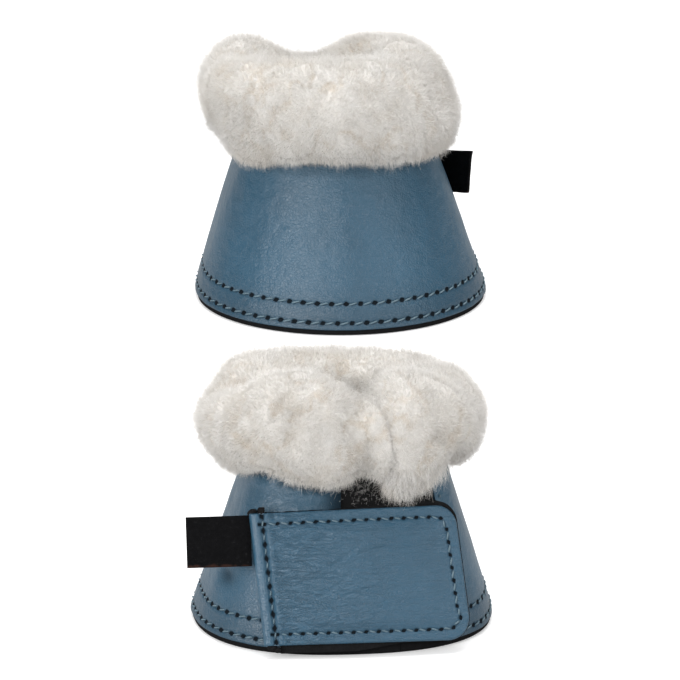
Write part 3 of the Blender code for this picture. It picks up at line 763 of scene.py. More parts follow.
def hem_stitches(boot, row, which):
    """A row of stitches round the hem, and the dark pieces of painted shade in the needle holes between them.

    The threads lie as high as the leather is a little beside and above each hole, out of its dip.
    """
    beside, above, slant = 0.03, 0.0015, 0.0012
    angles, length, at = hem_row(row)
    a = np.interp(at, length, angles)
    relief, _ = shell_relief(boot, a + beside, np.full_like(a, row + above))
    points = bell(a, row, relief)
    normal = bell(a, row, 0.001) - bell(a, row)
    normal[:, 2] += 0.001 * SLOPE
    normal = unit(normal)
    up = unit(bell(a, row + 0.001) - bell(a, row))
    threads = stitch_tubes(points, normal, up * slant)
    make_piece(boot, "hem_stitches_" + which, *threads, "thread", replaced="hem_thread_" + which)
    in_hole = bell(a, row, shell_relief(boot, a, np.full_like(a, row))[0] + HEM_HOLE_LIFT)
    rng = np.random.default_rng(boot["seed"] + int(row * 10000))
    holes = painted_hole_shades(in_hole, normal, np.gradient(points, axis=0), HEM_HOLE_TURN, HEM_HOLE_SIZE, rng)
    make_piece(boot, "hem_holes_" + which, *holes, "hole")


def end_stitches(boot):
    """The short stitches up the shell's right end."""
    low, high, from_end, slant = 0.009, 0.078, 0.0032, 0.0008
    z = np.arange(low, high, END_PITCH)
    a = SHELL_RIGHT + from_end / bell_radius(SHELL_RIGHT, z)
    points = bell(a, z)
    normal = unit(bell(a, z, 0.001) - points)
    across = unit(bell(a + 0.01, z) - points)
    threads = stitch_tubes(points, normal, across * slant)
    make_piece(boot, "end_stitches", *threads, "thread", replaced="end_thread")


def collar_stitches(boot):
    """The stitches that hold the collar's lower edge."""
    from_ends, below_edge, proud, slant = 0.02, 0.001, 0.0002, (0, 0, 0.001)
    a = np.linspace(SHELL_RIGHT + from_ends, SHELL_LEFT - from_ends, 96)
    z = collar_limits(boot, a)[2] + bumps(a, boot["lower_edge"]) - below_edge
    normal = unit(bell(a, z, 0.001) - bell(a, z))
    threads = stitch_tubes(bell(a, z, proud), normal, np.broadcast_to(slant, normal.shape))
    make_piece(boot, "collar_stitches", *threads, "light_thread", replaced="collar_thread")


# The rounded edges of the lining's outer side, as (height, depth behind the sheet's face).
LINING_HEM = ((0, 0.0016), (0.00012, 0.0008), (0.0005, 0.0003), (0.0012, 0))
LINING_TOP = ((0.1046, 0.0004), (0.105, 0.0012))
LINING_GAP = 0.00008


def lining_ring(boot):
    """The neoprene lining: one section with rounded edges, swept round from one end to the other."""
    inset = LINING_GAP / 2 / HEM_BACK
    a = np.linspace(MEETING + inset, MEETING + math.tau - inset, 360)
    outside = [*LINING_HEM, *((z, 0) for z in np.linspace(0.004, 0.104, 26)), *LINING_TOP]
    inside = [(z, LINING - depth) for z, depth in reversed(outside)]
    z, depth = np.array(outside + inside).T
    grid_a, grid_z = np.meshgrid(a, z, indexing="ij")
    section = bell(grid_a, grid_z, -(LEATHER + SHEET_GAP) - depth[None, :])
    faces = section_faces(*section.shape[:2], reverse=True)
    make_piece(boot, "neoprene", section, faces, "lining", replaced="lining")


def loop_patch(boot):
    """The rough sheet of loop pile on the lining, between the closure and the shell's right end."""
    margin, low, high, thickness, roughness, seed = 0.022, 0.007, 0.08, 0.0013, 0.0003, 3
    a = np.linspace(MEETING + margin, SHELL_RIGHT - margin, 60)
    grid_a, grid_z = np.meshgrid(a, np.linspace(low, high, 120), indexing="ij")
    pile = roughness * fbm(bell(grid_a, grid_z), 0.0012, seed, 2)
    top, under = bell(grid_a, grid_z, -LEATHER + thickness + pile), bell(grid_a, grid_z, -LEATHER)
    faces = closed_sheet_faces(*grid_a.shape)
    make_piece(boot, "loop_pile", both_sides(top, under), faces, "loop", replaced="loop_field")


def lint(boot):
    """Loose white fibres of the fleece caught on the loop patch and on the leather beside it."""
    count, degrees, spread, top, reach, radius = 260, 277, 8, 0.085, 0.005, 0.000042
    rng = np.random.default_rng(boot["seed"] + 90)
    a = np.radians(rng.normal(degrees, spread, count))
    z = top - np.abs(rng.normal(0, reach, count))
    root = bell(a, z, 0.001)
    side = rng.normal(size=(count, 3))
    tip = root + unit(side) * (0.0005 + 0.0014 * rng.random(count))[:, None]
    middle = (root + tip) / 2 + rng.normal(size=(count, 3)) * 0.0004
    fibres = tubes(np.stack((root, middle, tip), axis=1), radius, 3, side)
    make_piece(boot, "lint", *fibres, "fibre_white")


# ---------------------------------------------------------------- the flap
def border_path():
    """The line of the flap's border stitches, from the fold along the bottom, round the right and back."""
    inset = BORDER_INSET
    low, high = inset, FLAP_HEIGHT - inset
    right_low, right_high = flap_right(0) - inset, flap_right(FLAP_HEIGHT) - inset
    radius_low, radius_high = FLAP_BOTTOM_RADIUS - inset, FLAP_TOP_RADIUS - inset + 0.001
    from_fold = SEAM_INSET + 0.0012
    path = [(flap_left(low) + from_fold, low)]
    path += [(u, low) for u in np.linspace(flap_left(low) + 0.01, right_low - radius_low, 40)]
    centre_u, centre_v = right_low - radius_low, low + radius_low
    for t in np.linspace(0, math.pi / 2, 12):
        path.append((centre_u + radius_low * math.sin(t), centre_v - radius_low * math.cos(t)))
    path += [(flap_right(v) - inset, v) for v in np.linspace(low + radius_low, high - radius_high, 30)[1:-1]]
    centre_u, centre_v = flap_right(high) - inset - radius_high, high - radius_high
    for t in np.linspace(0, math.pi / 2, 10):
        path.append((centre_u + radius_high * math.cos(t), centre_v + radius_high * math.sin(t)))
    path += [(u, high) for u in np.linspace(right_high - radius_high, flap_left(high) + from_fold, 40)[1:]]
    path = np.array(path)
    steps = np.linalg.norm(np.diff(path, axis=0), axis=1)
    return path[np.append(True, steps > 1e-7)]


def seam_path():
    """The line of the stitches that hold the flap's sewn strip."""
    v = np.linspace(0.0018, FLAP_HEIGHT - 0.0018, 60)
    return np.stack((flap_left(v) + SEAM_INSET, v), axis=1)


# The two rows of the flap. hole_half is half the length and width of a hole in the relief, and size the same
# of the dark piece of painted shade in it. slant shifts each thread across its row. extra is added to the
# boot's seed.
FLAP_ROWS = (
    {
        "name": "border", "path": border_path(), "pitch": 0.0066, "turn": math.radians(24),
        "hole_half": (0.0021, 0.0016), "size": (0.00145, 0.00105), "slant": -0.0013, "gaps": (0.0011, 0.0015),
        "body": None, "extra": 16,
    },
    {
        "name": "seam", "path": seam_path(), "pitch": 0.007, "turn": 0, "hole_half": (0.002625, 0.002),
        "size": (0.00185, 0.00095), "slant": -0.0006, "gaps": (0.0024, 0.0023), "body": "boot", "extra": 14,
    },
)
# Soft creases, each (share of the width, share of the height) to (share of the width, share of the height).
FLAP_CREASES = (
    (0.2, 0.3, 0.5, 0.58), (0.24, 0.5, 0.56, 0.78), (0.14, 0.72, 0.42, 0.79), (0.3, 0.24, 0.66, 0.44),
    (0.12, 0.42, 0.34, 0.5), (0.46, 0.66, 0.8, 0.74), (0.15, 0.16, 0.4, 0.2),
)
EDGE_ROUND, FLAP_STEP, USUAL_WIDTH, PAST_LEFT_EDGE = 0.0011, 0.00042, 0.112, 0.0003
# A point of the flap as (u, v): its under rings are drawn in towards it, and the border's stitches take their
# height a little towards it.
FLAP_MIDDLE = (0.004, FLAP_HEIGHT / 2)
# The rings below the flap's edge: how far inwards, and how high over the leather's under side.
UNDER_RINGS = ((0, 0.0006), (0.0003, 0.00015), (0.004, 0.0001))


def path_coordinates(u, v, path):
    """For points near a path: the length along it and the signed distance across it, else length -1."""
    reach = 0.004
    steps = np.diff(path, axis=0)
    sizes = np.linalg.norm(steps, axis=1)
    length = np.concatenate(([0], np.cumsum(sizes)))
    best, along, across = np.full(u.shape, reach), np.full(u.shape, -1.0), np.zeros(u.shape)
    for k in range(len(steps)):
        d = steps[k] / sizes[k]
        x, y = u - path[k, 0], v - path[k, 1]
        t = np.clip(x * d[0] + y * d[1], 0, sizes[k])
        gap = np.hypot(x - t * d[0], y - t * d[1])
        closer = gap < best
        best = np.where(closer, gap, best)
        along = np.where(closer, length[k] + t, along)
        across = np.where(closer, -x * d[1] + y * d[0], across)
    return along, across


def crease_depth(boot, u, v):
    """The creases' depth from 0 to 1. Each boot has them in slightly different places."""
    depth = np.zeros_like(u)
    span = flap_right(v) - flap_left(v)
    x, y = u - flap_left(v), v
    rng = np.random.default_rng(boot["seed"])
    for crease in FLAP_CREASES:
        left, low, right, high = np.array(crease) + rng.normal(size=4) * 0.02
        start, stop = (left * span, low * FLAP_HEIGHT), (right * span, high * FLAP_HEIGHT)
        dx, dy = stop[0] - start[0], stop[1] - start[1]
        size = np.hypot(dx, dy)
        t = np.clip(((x - start[0]) * dx + (y - start[1]) * dy) / size ** 2, 0, 1)
        bow = 0.0016 * np.sin(np.pi * t) * rng.normal()
        gap = ((x - start[0]) * dy - (y - start[1]) * dx) / size + bow
        ends = np.hypot(x - start[0] - t * dx, y - start[1] - t * dy) < 0.004
        depth = depth + hump(gap, 0.0009) * np.sin(np.pi * t) * ends
    return depth


def flap_swell(boot, u, v):
    """The height of the flap's leather over its plane, before its rows of stitches dent it."""
    seed = boot["seed"]
    points = np.stack((u, v, np.zeros_like(u)), axis=-1)
    from_seam = u - flap_left(v) - SEAM_INSET
    level, cushion, swell, crease, crown_rise = 0.0004, 0.0007, 0.0003, 0.0004, 0.0016
    w = level + cushion * smooth(edge_distance(u, v), 0.004, 0.016) + swell * fbm(points, 0.03, seed + 2, 3)
    fan = np.exp(-np.maximum(from_seam - 0.004, 0) / 0.032) * smooth(from_seam, 0.001, 0.006)
    w = w + 0.00025 * fan * fbm(points * (0.36, 1, 1) + u[..., None] * (0, 0.2, 0), 0.003, seed + 3, 3)
    w = w + 0.00014 * fbm(np.stack((u * 0.55 + v * 0.45, v - u * 0.35, u * 0), axis=-1), 0.01, seed + 8, 3)
    w = w - crease * crease_depth(boot, u, v)
    share = np.clip(from_seam / (flap_right(v) - flap_left(v) - SEAM_INSET), 0, 1)
    w = w + crown_rise * np.sin(np.pi * share ** 0.8) * smooth(edge_distance(u, v), 0.003, 0.012)
    crown = np.clip((u - flap_left(v)) / SEAM_INSET, 0, 1)
    strip = 0.0005 + 0.0011 * np.sin(np.pi * crown) ** 0.8 + 0.00018 * fbm(points, 0.012, seed + 4, 2)
    w = np.where(from_seam < 0, strip, w) + 0.0007 * hump(from_seam - 0.003, 0.0022)
    valley = hump(from_seam, 0.0012)
    return w * (1 - valley) + 0.00015 * valley


def flap_relief(boot, u, v):
    """Height of the flap's leather over its plane, and its painted shade in the needle holes, along the rows
    and in the seam's valley.
    """
    row_dip, hole_dip, least = 0.00024, 0.00055, 0.00012
    w, hole = flap_swell(boot, u, v), np.zeros_like(u)
    from_seam = u - flap_left(v) - SEAM_INSET
    for row in FLAP_ROWS:
        along, across = path_coordinates(u, v, row["path"])
        at, _ = walk(row["path"], row["pitch"])
        mask = np.where(along >= 0, hole_mask(along, across, at[1], row["turn"], *row["hole_half"]), 0)
        w = w - row_dip * np.where(along >= 0, hump(across, 0.0011), 0) - hole_dip * mask
        hole = np.maximum(hole, mask)
    over_base = from_seam < BASE_WIDTH - SEAM_INSET + 0.0006
    # Painted shade in the seam's valley.
    hole = np.maximum(hole, 0.6 * hump(from_seam - 0.0002, 0.0006))
    return np.where(over_base, np.maximum(w, least), w), hole


def graded(low, high, step):
    """Values from low to high at about one step, closer together near both ends."""
    fine = np.array((0, 0.00008, 0.00022, 0.00045, 0.00075, 0.0011))
    middle = np.linspace(low + fine[-1], high - fine[-1], int(round((high - low - 2 * fine[-1]) / step)) + 1)
    return np.concatenate((low + fine[:-1], middle, high - fine[:-1][::-1]))


def flap_rings(edge_u, edge_v):
    """Three rings that turn the flap's leather under: down its edge, round it and a little inwards."""
    middle_u, middle_v = FLAP_MIDDLE
    away = np.hypot(edge_u - middle_u, edge_v - middle_v)
    rings = []
    for inset, rise in UNDER_RINGS:
        pull = 1 - inset / away
        u, v = middle_u + (edge_u - middle_u) * pull, middle_v + (edge_v - middle_v) * pull
        rings.append(flap_xyz(u, v, -FLAP_LEATHER + rise))
    return rings


def flap_leather(boot):
    """The flap's leather with rounded edges and corners."""
    v = graded(0, FLAP_HEIGHT, FLAP_STEP)
    share = graded(0, USUAL_WIDTH, FLAP_STEP) / USUAL_WIDTH
    left = flap_left(v) - PAST_LEFT_EDGE
    right = flap_right(v) - corner_cut(v, FLAP_BOTTOM_RADIUS) - corner_cut(FLAP_HEIGHT - v, FLAP_TOP_RADIUS)
    u = left[:, None] + (right - left)[:, None] * share[None, :]
    v = np.broadcast_to(v[:, None], u.shape)
    w, hole = flap_relief(boot, u, v)
    d = np.clip(np.minimum(edge_distance(u, v), u - left[:, None]), 0, EDGE_ROUND)
    w = w - (EDGE_ROUND - np.sqrt(np.maximum(EDGE_ROUND ** 2 - (EDGE_ROUND - d) ** 2, 0)))
    loop = grid_border(*u.shape)
    rings = flap_rings(u.ravel()[loop], v.ravel()[loop])
    faces = [grid_quads(*u.shape)]
    for k in range(len(rings)):
        ring = u.size + k * len(loop) + np.arange(len(loop))
        faces.append(np.stack((np.roll(loop, -1), loop, ring, np.roll(ring, -1)), axis=1))
        loop = ring
    from_seam = u - flap_left(v) - SEAM_INSET
    wrinkle = 0.34 + 0.66 * np.exp(-np.maximum(from_seam - 0.006, 0) / 0.03)
    wrinkle = wrinkle * smooth(from_seam, 0, 0.005)
    plain = np.zeros(len(rings) * len(loop))
    values = {"hole": np.append(hole, plain), "wrinkle": np.append(wrinkle, plain)}
    verts = np.concatenate([flap_xyz(u, v, w).reshape(-1, 3)] + rings)
    turn_flap(make_piece(boot, "flap_leather", verts, faces, "flap", None, "flap_panel", values))


def turn_flap(piece):
    """Bakes the placing of a piece that crosses the fold into its mesh. The piece is on no body."""
    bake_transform(piece)


def flap_stitches(boot, row):
    """One row of stitches on the flap, and the dark pieces of painted shade in its needle holes. The border's
    row crosses the fold.
    """
    at, length = walk(row["path"], row["pitch"])
    u, v = (np.interp(at, length, values) for values in row["path"].T)
    inwards, sunk = 0.02, 0.0002
    inner_u, inner_v = u + (FLAP_MIDDLE[0] - u) * inwards, v + (FLAP_MIDDLE[1] - v) * inwards
    w = sunk if row["body"] else flap_relief(boot, inner_u, inner_v)[0]
    points = flap_xyz(u, v, w - sunk)
    normal = np.broadcast_to(FLAP_OUT, points.shape)
    along = np.gradient(points, axis=0)
    threads = stitch_tubes(points, normal, unit(np.cross(normal, along)) * row["slant"], row["gaps"])
    in_hole = flap_xyz(u, v, flap_relief(boot, u, v)[0] + FLAP_HOLE_LIFT)
    rng = np.random.default_rng(boot["seed"] + row["extra"])
    holes = painted_hole_shades(in_hole, normal, along, row["turn"], row["size"], rng)
    name, body = row["name"], row["body"]
    pieces = (
        make_piece(boot, name + "_stitches", *threads, "thread", body, "flap_" + name + "_thread"),
        make_piece(boot, name + "_holes", *holes, "hole", body),
    )
    if not body:
        for piece in pieces:
            turn_flap(piece)


def hook_backing(boot):
    """The black hook tape behind the flap. It stands out a little over the flap's top at its right end."""
    rows, cols, beyond = 90, 150, 0.0006
    share = np.linspace(0, 1, cols)[None, :]
    up = np.broadcast_to(np.linspace(0, 1, rows)[:, None], (rows, cols))
    low = -0.0002 - 0.004 * (1 - smooth(share, 0.4, 0.8))
    high = FLAP_HEIGHT + (0.0004 + 0.0022 * smooth(share, 0.35, 0.85))
    height = low + (high - low) * up
    bottom_cut = corner_cut(height - low, FLAP_BOTTOM_RADIUS + beyond)
    top_cut = corner_cut(np.maximum(FLAP_HEIGHT + 0.0026 - height, 0), FLAP_TOP_RADIUS + beyond)
    right = flap_right(np.clip(height, 0, FLAP_HEIGHT)) + beyond - bottom_cut - top_cut
    left = flap_left(height) + BASE_WIDTH + beyond
    u = left + (right - left) * share
    fuzz = np.stack((u, height, u * 0), axis=-1)
    height = height + 0.00025 * value_noise(fuzz / 0.0016, 5) * smooth(up, 0.9, 1)
    rough = 0.0002 * value_noise(fuzz / 0.0011, 6)
    top = flap_xyz(u, height, -(FLAP_LEATHER + SEAT_GAP))
    under = flap_xyz(u, height, -(FLAP_LEATHER + SEAT_GAP + FLAP_BACKING) + rough)
    faces = closed_sheet_faces(rows, cols)
    make_piece(boot, "hook_tape", both_sides(top, under), faces, "hook", "flap", "flap_backing")


# The folded layer's lumps: (height on the flap, distance from its left edge, half width, half height, seed).
FOLD_LUMPS = (
    (FLAP_HEIGHT + 0.0006, 0.0016, 0.0022, 0.0019, 1), (FLAP_HEIGHT + 0.0012, 0.0062, 0.0019, 0.0022, 2),
    (-0.0008, 0.004, 0.003, 0.0018, 3), (-0.0022, 0.0066, 0.002, 0.0016, 4),
)


def fold_ends(boot):
    """The black layer folded under the sewn strip, which shows as two small lumps at each end of it."""
    rows, cols = 22, 30
    phi, theta = np.linspace(0.05, math.pi - 0.05, rows), np.arange(cols) * math.tau / cols
    phi, theta = np.meshgrid(phi, theta, indexing="ij")
    ball = np.stack((np.sin(phi) * np.cos(theta), np.sin(phi) * np.sin(theta), np.cos(phi)), axis=-1)
    verts, faces = [], []
    for k, (v, from_left, half_u, half_v, seed) in enumerate(FOLD_LUMPS):
        shape = ball * (1 + 0.22 * fbm(ball, 0.9, 70 + seed, 2))[..., None]
        u = flap_left(np.clip(v, 0, FLAP_HEIGHT)) + from_left + shape[..., 0] * half_u
        verts.append(flap_xyz(u, v + shape[..., 1] * half_v, -0.0018 + shape[..., 2] * 0.0019))
        base, ring = k * rows * cols, np.arange(cols)[None]
        faces += [grid_quads(rows, cols, start=base, close_cols=True)[:, ::-1]]
        faces += [base + ring, base + (rows - 1) * cols + ring[:, ::-1]]
    make_piece(boot, "fold_ends", verts, faces, "hook")


def turned_about(points, pivot, axis, angle):
    """Points turned about an axis through a pivot, each by its own angle."""
    arm = points - pivot
    cosine, sine = np.cos(angle)[:, None], np.sin(angle)[:, None]
    aside = np.cross(np.broadcast_to(axis, arm.shape), arm)
    return pivot + arm * cosine + aside * sine + axis * (arm @ axis)[:, None] * (1 - cosine)


def tape_strap(boot):
    """The woven tape. It is drawn straight out of the flap's plane and then bent with the CAD's strap."""
    rows, cols, edge_round, past_end, rise = 110, 70, 0.0006, 0.0012, 0.0018
    thread_u, thread_v = 0.00062, 0.00105
    middle_v = (STRAP_HEIGHT - FLAP_BOTTOM) / math.cos(LEAN) + rise
    u = np.linspace(STRAP_ROOT, STRAP_END - past_end, rows)
    v = middle_v + STRAP_WIDTH * (np.linspace(0, 1, cols) - 0.5)
    grid_u, grid_v = np.meshgrid(u, v, indexing="ij")
    flat = flap_xyz(STRAP_ROOT, grid_v, -STRAP_DEPTH)
    flat[..., 0] += grid_u - STRAP_ROOT
    points = np.stack((grid_u, grid_v, grid_u * 0), axis=-1)
    edge = np.clip(np.minimum(grid_v - v[0], v[-1] - grid_v), 0, edge_round)
    rounding = edge_round - np.sqrt(np.maximum(edge_round ** 2 - (edge_round - edge) ** 2, 0))
    wave = 0.0004 * fbm(points, 0.012, boot["seed"] + 20, 2)
    half = STRAP_THICKNESS / 2
    top = flat + FLAP_OUT * (half - rounding + wave)[..., None]
    under = flat + FLAP_OUT * (-half + rounding + wave)[..., None]
    joint = joints[boot["name"] + "_strap_bend"]
    amount = -both_sides(grid_u, grid_u)
    angle = boot["strap_swing"] * smooth(amount, *STRAP_BEND)
    verts = place(boot, both_sides(top, under))
    verts = turned_about(verts, np.array(joint["pos_m"]), unit(np.array(joint["axis"])), angle)
    verts[:, 2] += boot["strap_rise"] * np.maximum(amount - STRAP_RISES_FROM, 0)
    fray = 0.0016 - (grid_v - v[0]) + 0.001 * fbm(points, 0.0028, boot["seed"] + 21, 2)
    values = {"tape_u": grid_u / thread_u, "tape_v": grid_v / thread_v, "frayed": smooth(fray, 0, 0.0016)}
    values = {key: both_sides(side, side) for key, side in values.items()}
    faces = closed_sheet_faces(rows, cols)
    piece = make_piece(boot, "tape_strap", verts, faces, "tape", None, "strap", values, placed=True)
    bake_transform(piece)


# ---------------------------------------------------------------- the fleece collar
FELT_COUNT, WISP_COUNT, FRINGE_COUNT = 70000, 33000, 4500
FELT_LENGTH, WISP_LENGTH = 0.004, 0.0054
FELT_RADIUS, WISP_RADIUS = 0.000067, 0.000043
FIBRE_SIDES, PIECE_TRIANGLES = 3, 190000
TINT_STEPS = (-0.2, 0.2, 0.66, 1.2)
# The hanging tuft, in degrees from the closure, and its highest roots.
TUFT_MIDDLE, TUFT_HALF_WIDTH, TUFT_EDGE, TUFT_TOP = 17, 14, 6, 0.098
DROP = np.array((0.0, 0.0, -1.0))
COLLAR_REACH = 0.045


def oval(a, half_width, reach):
    """An oval's radius at an angle."""
    return 1 / np.hypot(np.cos(a) / half_width, np.sin(a) / reach)


def collar_limits(boot, a):
    """The roll's inner and outer radius and its lowest and highest point, at angles round the boot."""
    a = np.asarray(a, dtype=float)
    outer = oval(a, boot["half_width"], np.where(np.sin(a) >= 0, COLLAR_FRONT, COLLAR_BACK))
    inner = oval(a, HOLE_HALF_WIDTH, HOLE_REACH)
    from_right = (a - MEETING) % math.tau
    from_end = np.minimum(from_right, math.tau - from_right) * (outer + inner) / 2
    top = COLLAR_TOP + boot["tilt"] * np.sin(a) - boot["dip"] * hump(from_end, boot["dip_length"])
    tuft = boot["tuft"] * (1 - smooth((from_right - TUFT_ANGLE) / TUFT_FADE))
    return inner, outer, COLLAR_BOTTOM - COLLAR_WAVE * np.cos(2 * a) - tuft, top


def bumps(a, marks):
    """A sum of soft bumps round the boot, each from (degrees, degrees wide, metres high)."""
    total = np.zeros_like(np.asarray(a, dtype=float))
    for middle, width, height in marks:
        total = total + height * hump(turned_from(a, middle), width)
    return total


def from_outside(turn):
    """The angle round the roll's section from its outermost point, between -pi and pi."""
    return (turn + math.pi) % math.tau - math.pi


def collar_surface(boot, a, turn, proud):
    """A point of the roll: a is the angle round the boot and turn the angle round the section."""
    inner, outer, bottom, top = collar_limits(boot, a)
    outer, inner = outer + proud + bumps(a, boot["sides"]), inner - proud
    bottom, top = bottom - proud + bumps(a, boot["lower_edge"]), top + proud + bumps(a, boot["crest"])
    sheet = bell_radius(a, bottom, -(LEATHER + SHEET_GAP + LINING) / 2)
    across = signed_power(np.cos(turn), COLLAR_ROUNDNESS)
    along = signed_power(np.sin(turn), COLLAR_ROUNDNESS)
    height = (bottom + top) / 2 + along * (top - bottom) / 2
    rise = smooth((height - bottom) / (top - bottom))
    middle = sheet + ((outer + inner) / 2 - sheet) * rise
    point = round_axis(a, middle + across * (outer - inner) / 2, height)
    point[..., 0] += (boot["lean"] - SIDE_LEAN * COLLAR_BOTTOM) * rise
    return point


def fleece_relief(boot, plain, a, turn):
    """How far the ground stands out of the plain roll, and how high in its billows it is, from 0 to 1."""
    seed, outside = boot["seed"], from_outside(turn)
    out = 0.0021 * fbm(plain * (1, 1, 0.8), 0.024, seed + 30, 2)
    billows = np.abs(fbm(plain * (1, 1, 0.62), 0.0125, seed + 33, 2))
    curls = np.abs(fbm(plain * (1, 1, 0.8), 0.0048, seed + 37, 2))
    hem = hump(outside + 1.12, 0.24) - hump(outside + 0.62, 0.2)
    hem = hem * smooth(fbm(plain * (1, 1, 0), 0.04, seed + 39, 1), -0.5, 0.4)
    for degrees, width, level, tall, depth in boot["dents"]:
        near = spot(turned_from(a, degrees), width, plain[..., 2] - level, tall)
        out = out + depth * near * (np.cos(turn) > 0)
    out = out + 0.0012 * (billows - 0.35) + 0.0002 * (curls - 0.3) + 0.0011 * hem
    return out, smooth(billows * 0.8 + curls * 0.3, 0.05, 0.55)


def fleece_ground(boot):
    """The lumpy ground of the fleece, from one end at the closure round to the other."""
    rows, cols = 460, 190
    end_length, depth_in, overlap = 0.0045, 0.0016, 0.0004
    inset = -overlap / COLLAR_REACH
    a = np.linspace(MEETING + inset, MEETING + math.tau - inset, rows)
    grid_a, turn = np.meshgrid(a, np.arange(cols) * math.tau / cols, indexing="ij")
    arc = np.minimum(grid_a - a[0], a[-1] - grid_a) * COLLAR_REACH
    closing = 1 - np.clip(arc / end_length, 0, 1)
    plain = collar_surface(boot, grid_a, turn, -depth_in)
    ring_a = grid_a[:, :1]
    core = (collar_surface(boot, ring_a, 0, 0) + collar_surface(boot, ring_a, math.pi, 0)) / 2
    pull = (1 - np.sqrt(np.maximum(1 - closing ** 2, 0)))[..., None]
    plain = plain + (core - plain) * pull * 0.2
    out = unit(plain - core)
    relief, height = fleece_relief(boot, plain, grid_a, turn)
    points = plain + out * relief[..., None]
    # under marks the roll's under side, which the material darkens as painted shadow.
    values = {"height": height, "under": np.exp(-(((from_outside(turn) + 1.75) / 0.42) ** 4))}
    faces = section_faces(rows, cols)
    piece = make_piece(boot, "fleece_ground", points, faces, "fleece", "boot", "fleece_collar", values)
    return points, out, height


def clump(root, tip, count, rng, narrow, pull):
    """Draws the tips of fibres together towards the tip of the middle fibre of their tuft."""
    centres = rng.choice(len(root), size=count, replace=False)
    tree = KDTree(count)
    for k, index in enumerate(centres):
        tree.insert(root[index], k)
    tree.balance()
    centre = centres[np.array([tree.find(p)[1] for p in root])]
    goal = tip[centre] + (root - root[centre]) * narrow
    return tip * (1 - pull) + goal * pull


def ground_normals(points, out):
    """The outward direction and the area at each corner of the ground."""
    normal = np.cross(np.roll(points, -1, axis=1) - points, np.gradient(points, axis=0))
    area = np.linalg.norm(normal, axis=2)
    normal = unit(normal)
    return normal * np.where((normal * out).sum(axis=2, keepdims=True) < 0, -1, 1), area


def fibre_cells(area, turn, rng):
    """The ground's cell under each fibre: felt and wisps all over, then the fringe low on the outside."""
    weight = area[:-1].ravel()
    cell = rng.choice(weight.size, size=FELT_COUNT + WISP_COUNT, p=weight / weight.sum())
    edge = weight * hump(from_outside(turn[:-1]) + 1.15, 0.22).ravel()
    return np.concatenate((cell, rng.choice(weight.size, size=FRINGE_COUNT, p=edge / edge.sum())))


def between(field, i, j, s, t):
    """A field of the ground at fibre roots, each at the shares s and t inside its cell."""
    after, s, t = (j + 1) % field.shape[1], s[:, None], t[:, None]
    low = field[i, j] * (1 - t) + field[i, after] * t
    high = field[i + 1, j] * (1 - t) + field[i + 1, after] * t
    return low * (1 - s) + high * s


def fibre_directions(boot, root, n, side, angle, raised, under, wisp, fringe):
    """Which way each fibre leans, and how strongly it belongs to the tuft that hangs beside the closure."""
    flow = [fbm(root * (1, 1, 0.6), 0.009, boot["seed"] + 40 + k, 2) for k in range(3)]
    flow = np.stack(flow, axis=1)
    flow = flow - n * (flow * n).sum(axis=1, keepdims=True)
    down = DROP - n * (n @ DROP)[:, None]
    from_middle = np.abs(np.degrees(angle - MEETING) - TUFT_MIDDLE)
    tuft = 1 - smooth((from_middle - TUFT_HALF_WIDTH) / TUFT_EDGE)
    tuft = tuft * (root[:, 2] < TUFT_TOP) * boot["tuft_fibres"]
    upright, lying = np.where(wisp, 1, 0.6), np.where(wisp, 0.25, 0.5)
    direction = n * upright[:, None] + flow * lying[:, None] + side * 0.6 + down * 0.18
    hanging = under * np.clip(1.3 - raised, 0, 1)
    direction += DROP * (tuft * 1.6 + hanging * 0.9 + fringe * 1.8)[:, None]
    return unit(direction), tuft


def fibre_lengths(boot, root, tuft, under, wisp, fringe, rng):
    """How long each fibre is: uneven in the fringe, longer in the tuft and a little shorter below."""
    length = np.where(wisp, WISP_LENGTH, FELT_LENGTH) * (0.6 + 0.8 * rng.random(len(root)))
    uneven = smooth(fbm(root, 0.0045, boot["seed"] + 70, 2), -0.6, 0.8)
    length = length * np.where(fringe, 0.55 + 0.75 * uneven, 1)
    wavy = 1 + 0.22 * fbm(root, 0.012, boot["seed"] + 50, 2)
    return length * wavy * (1 + 0.75 * tuft) * (1 - 0.15 * under)


def fibre_tints(boot, root, angle, raised, under, rng):
    """Which of the fibre colours each has: warmer in patches, and as painted shade warmer and darker in
    valleys, in recesses and below.
    """
    # Painted shade: recesses, low places and the roll's under side get the warmer, darker colours.
    recess = -110 * bumps(angle, boot["sides"]) * (root[:, 2] < 0.12)
    warm_and_shade = 0.66 * fbm(root, 0.016, boot["seed"] + 60, 2) + np.clip(recess, 0, 0.6)
    warm_and_shade = warm_and_shade + 0.14 * rng.normal(size=len(root)) + 0.3 * (0.5 - raised) + 1.2 * (under - 0.25)
    return np.digitize(warm_and_shade, TINT_STEPS)


def curled_paths(root, tip, n, length, steps, rng):
    """Paths from below each root to its tip, bowed outwards and curled more towards the tip."""
    path = root[:, None, :] + (tip - root)[:, None, :] * steps[None, :, None]
    path = path + (length * 0.2)[:, None, None] * n[:, None, :] * np.sin(np.pi * steps)[None, :, None]
    curl = rng.normal(size=(len(root), len(steps), 3)) * (length * 0.11)[:, None, None]
    path = path + curl * steps[None, :, None]
    path[:, 0] -= n * 0.0005
    return path


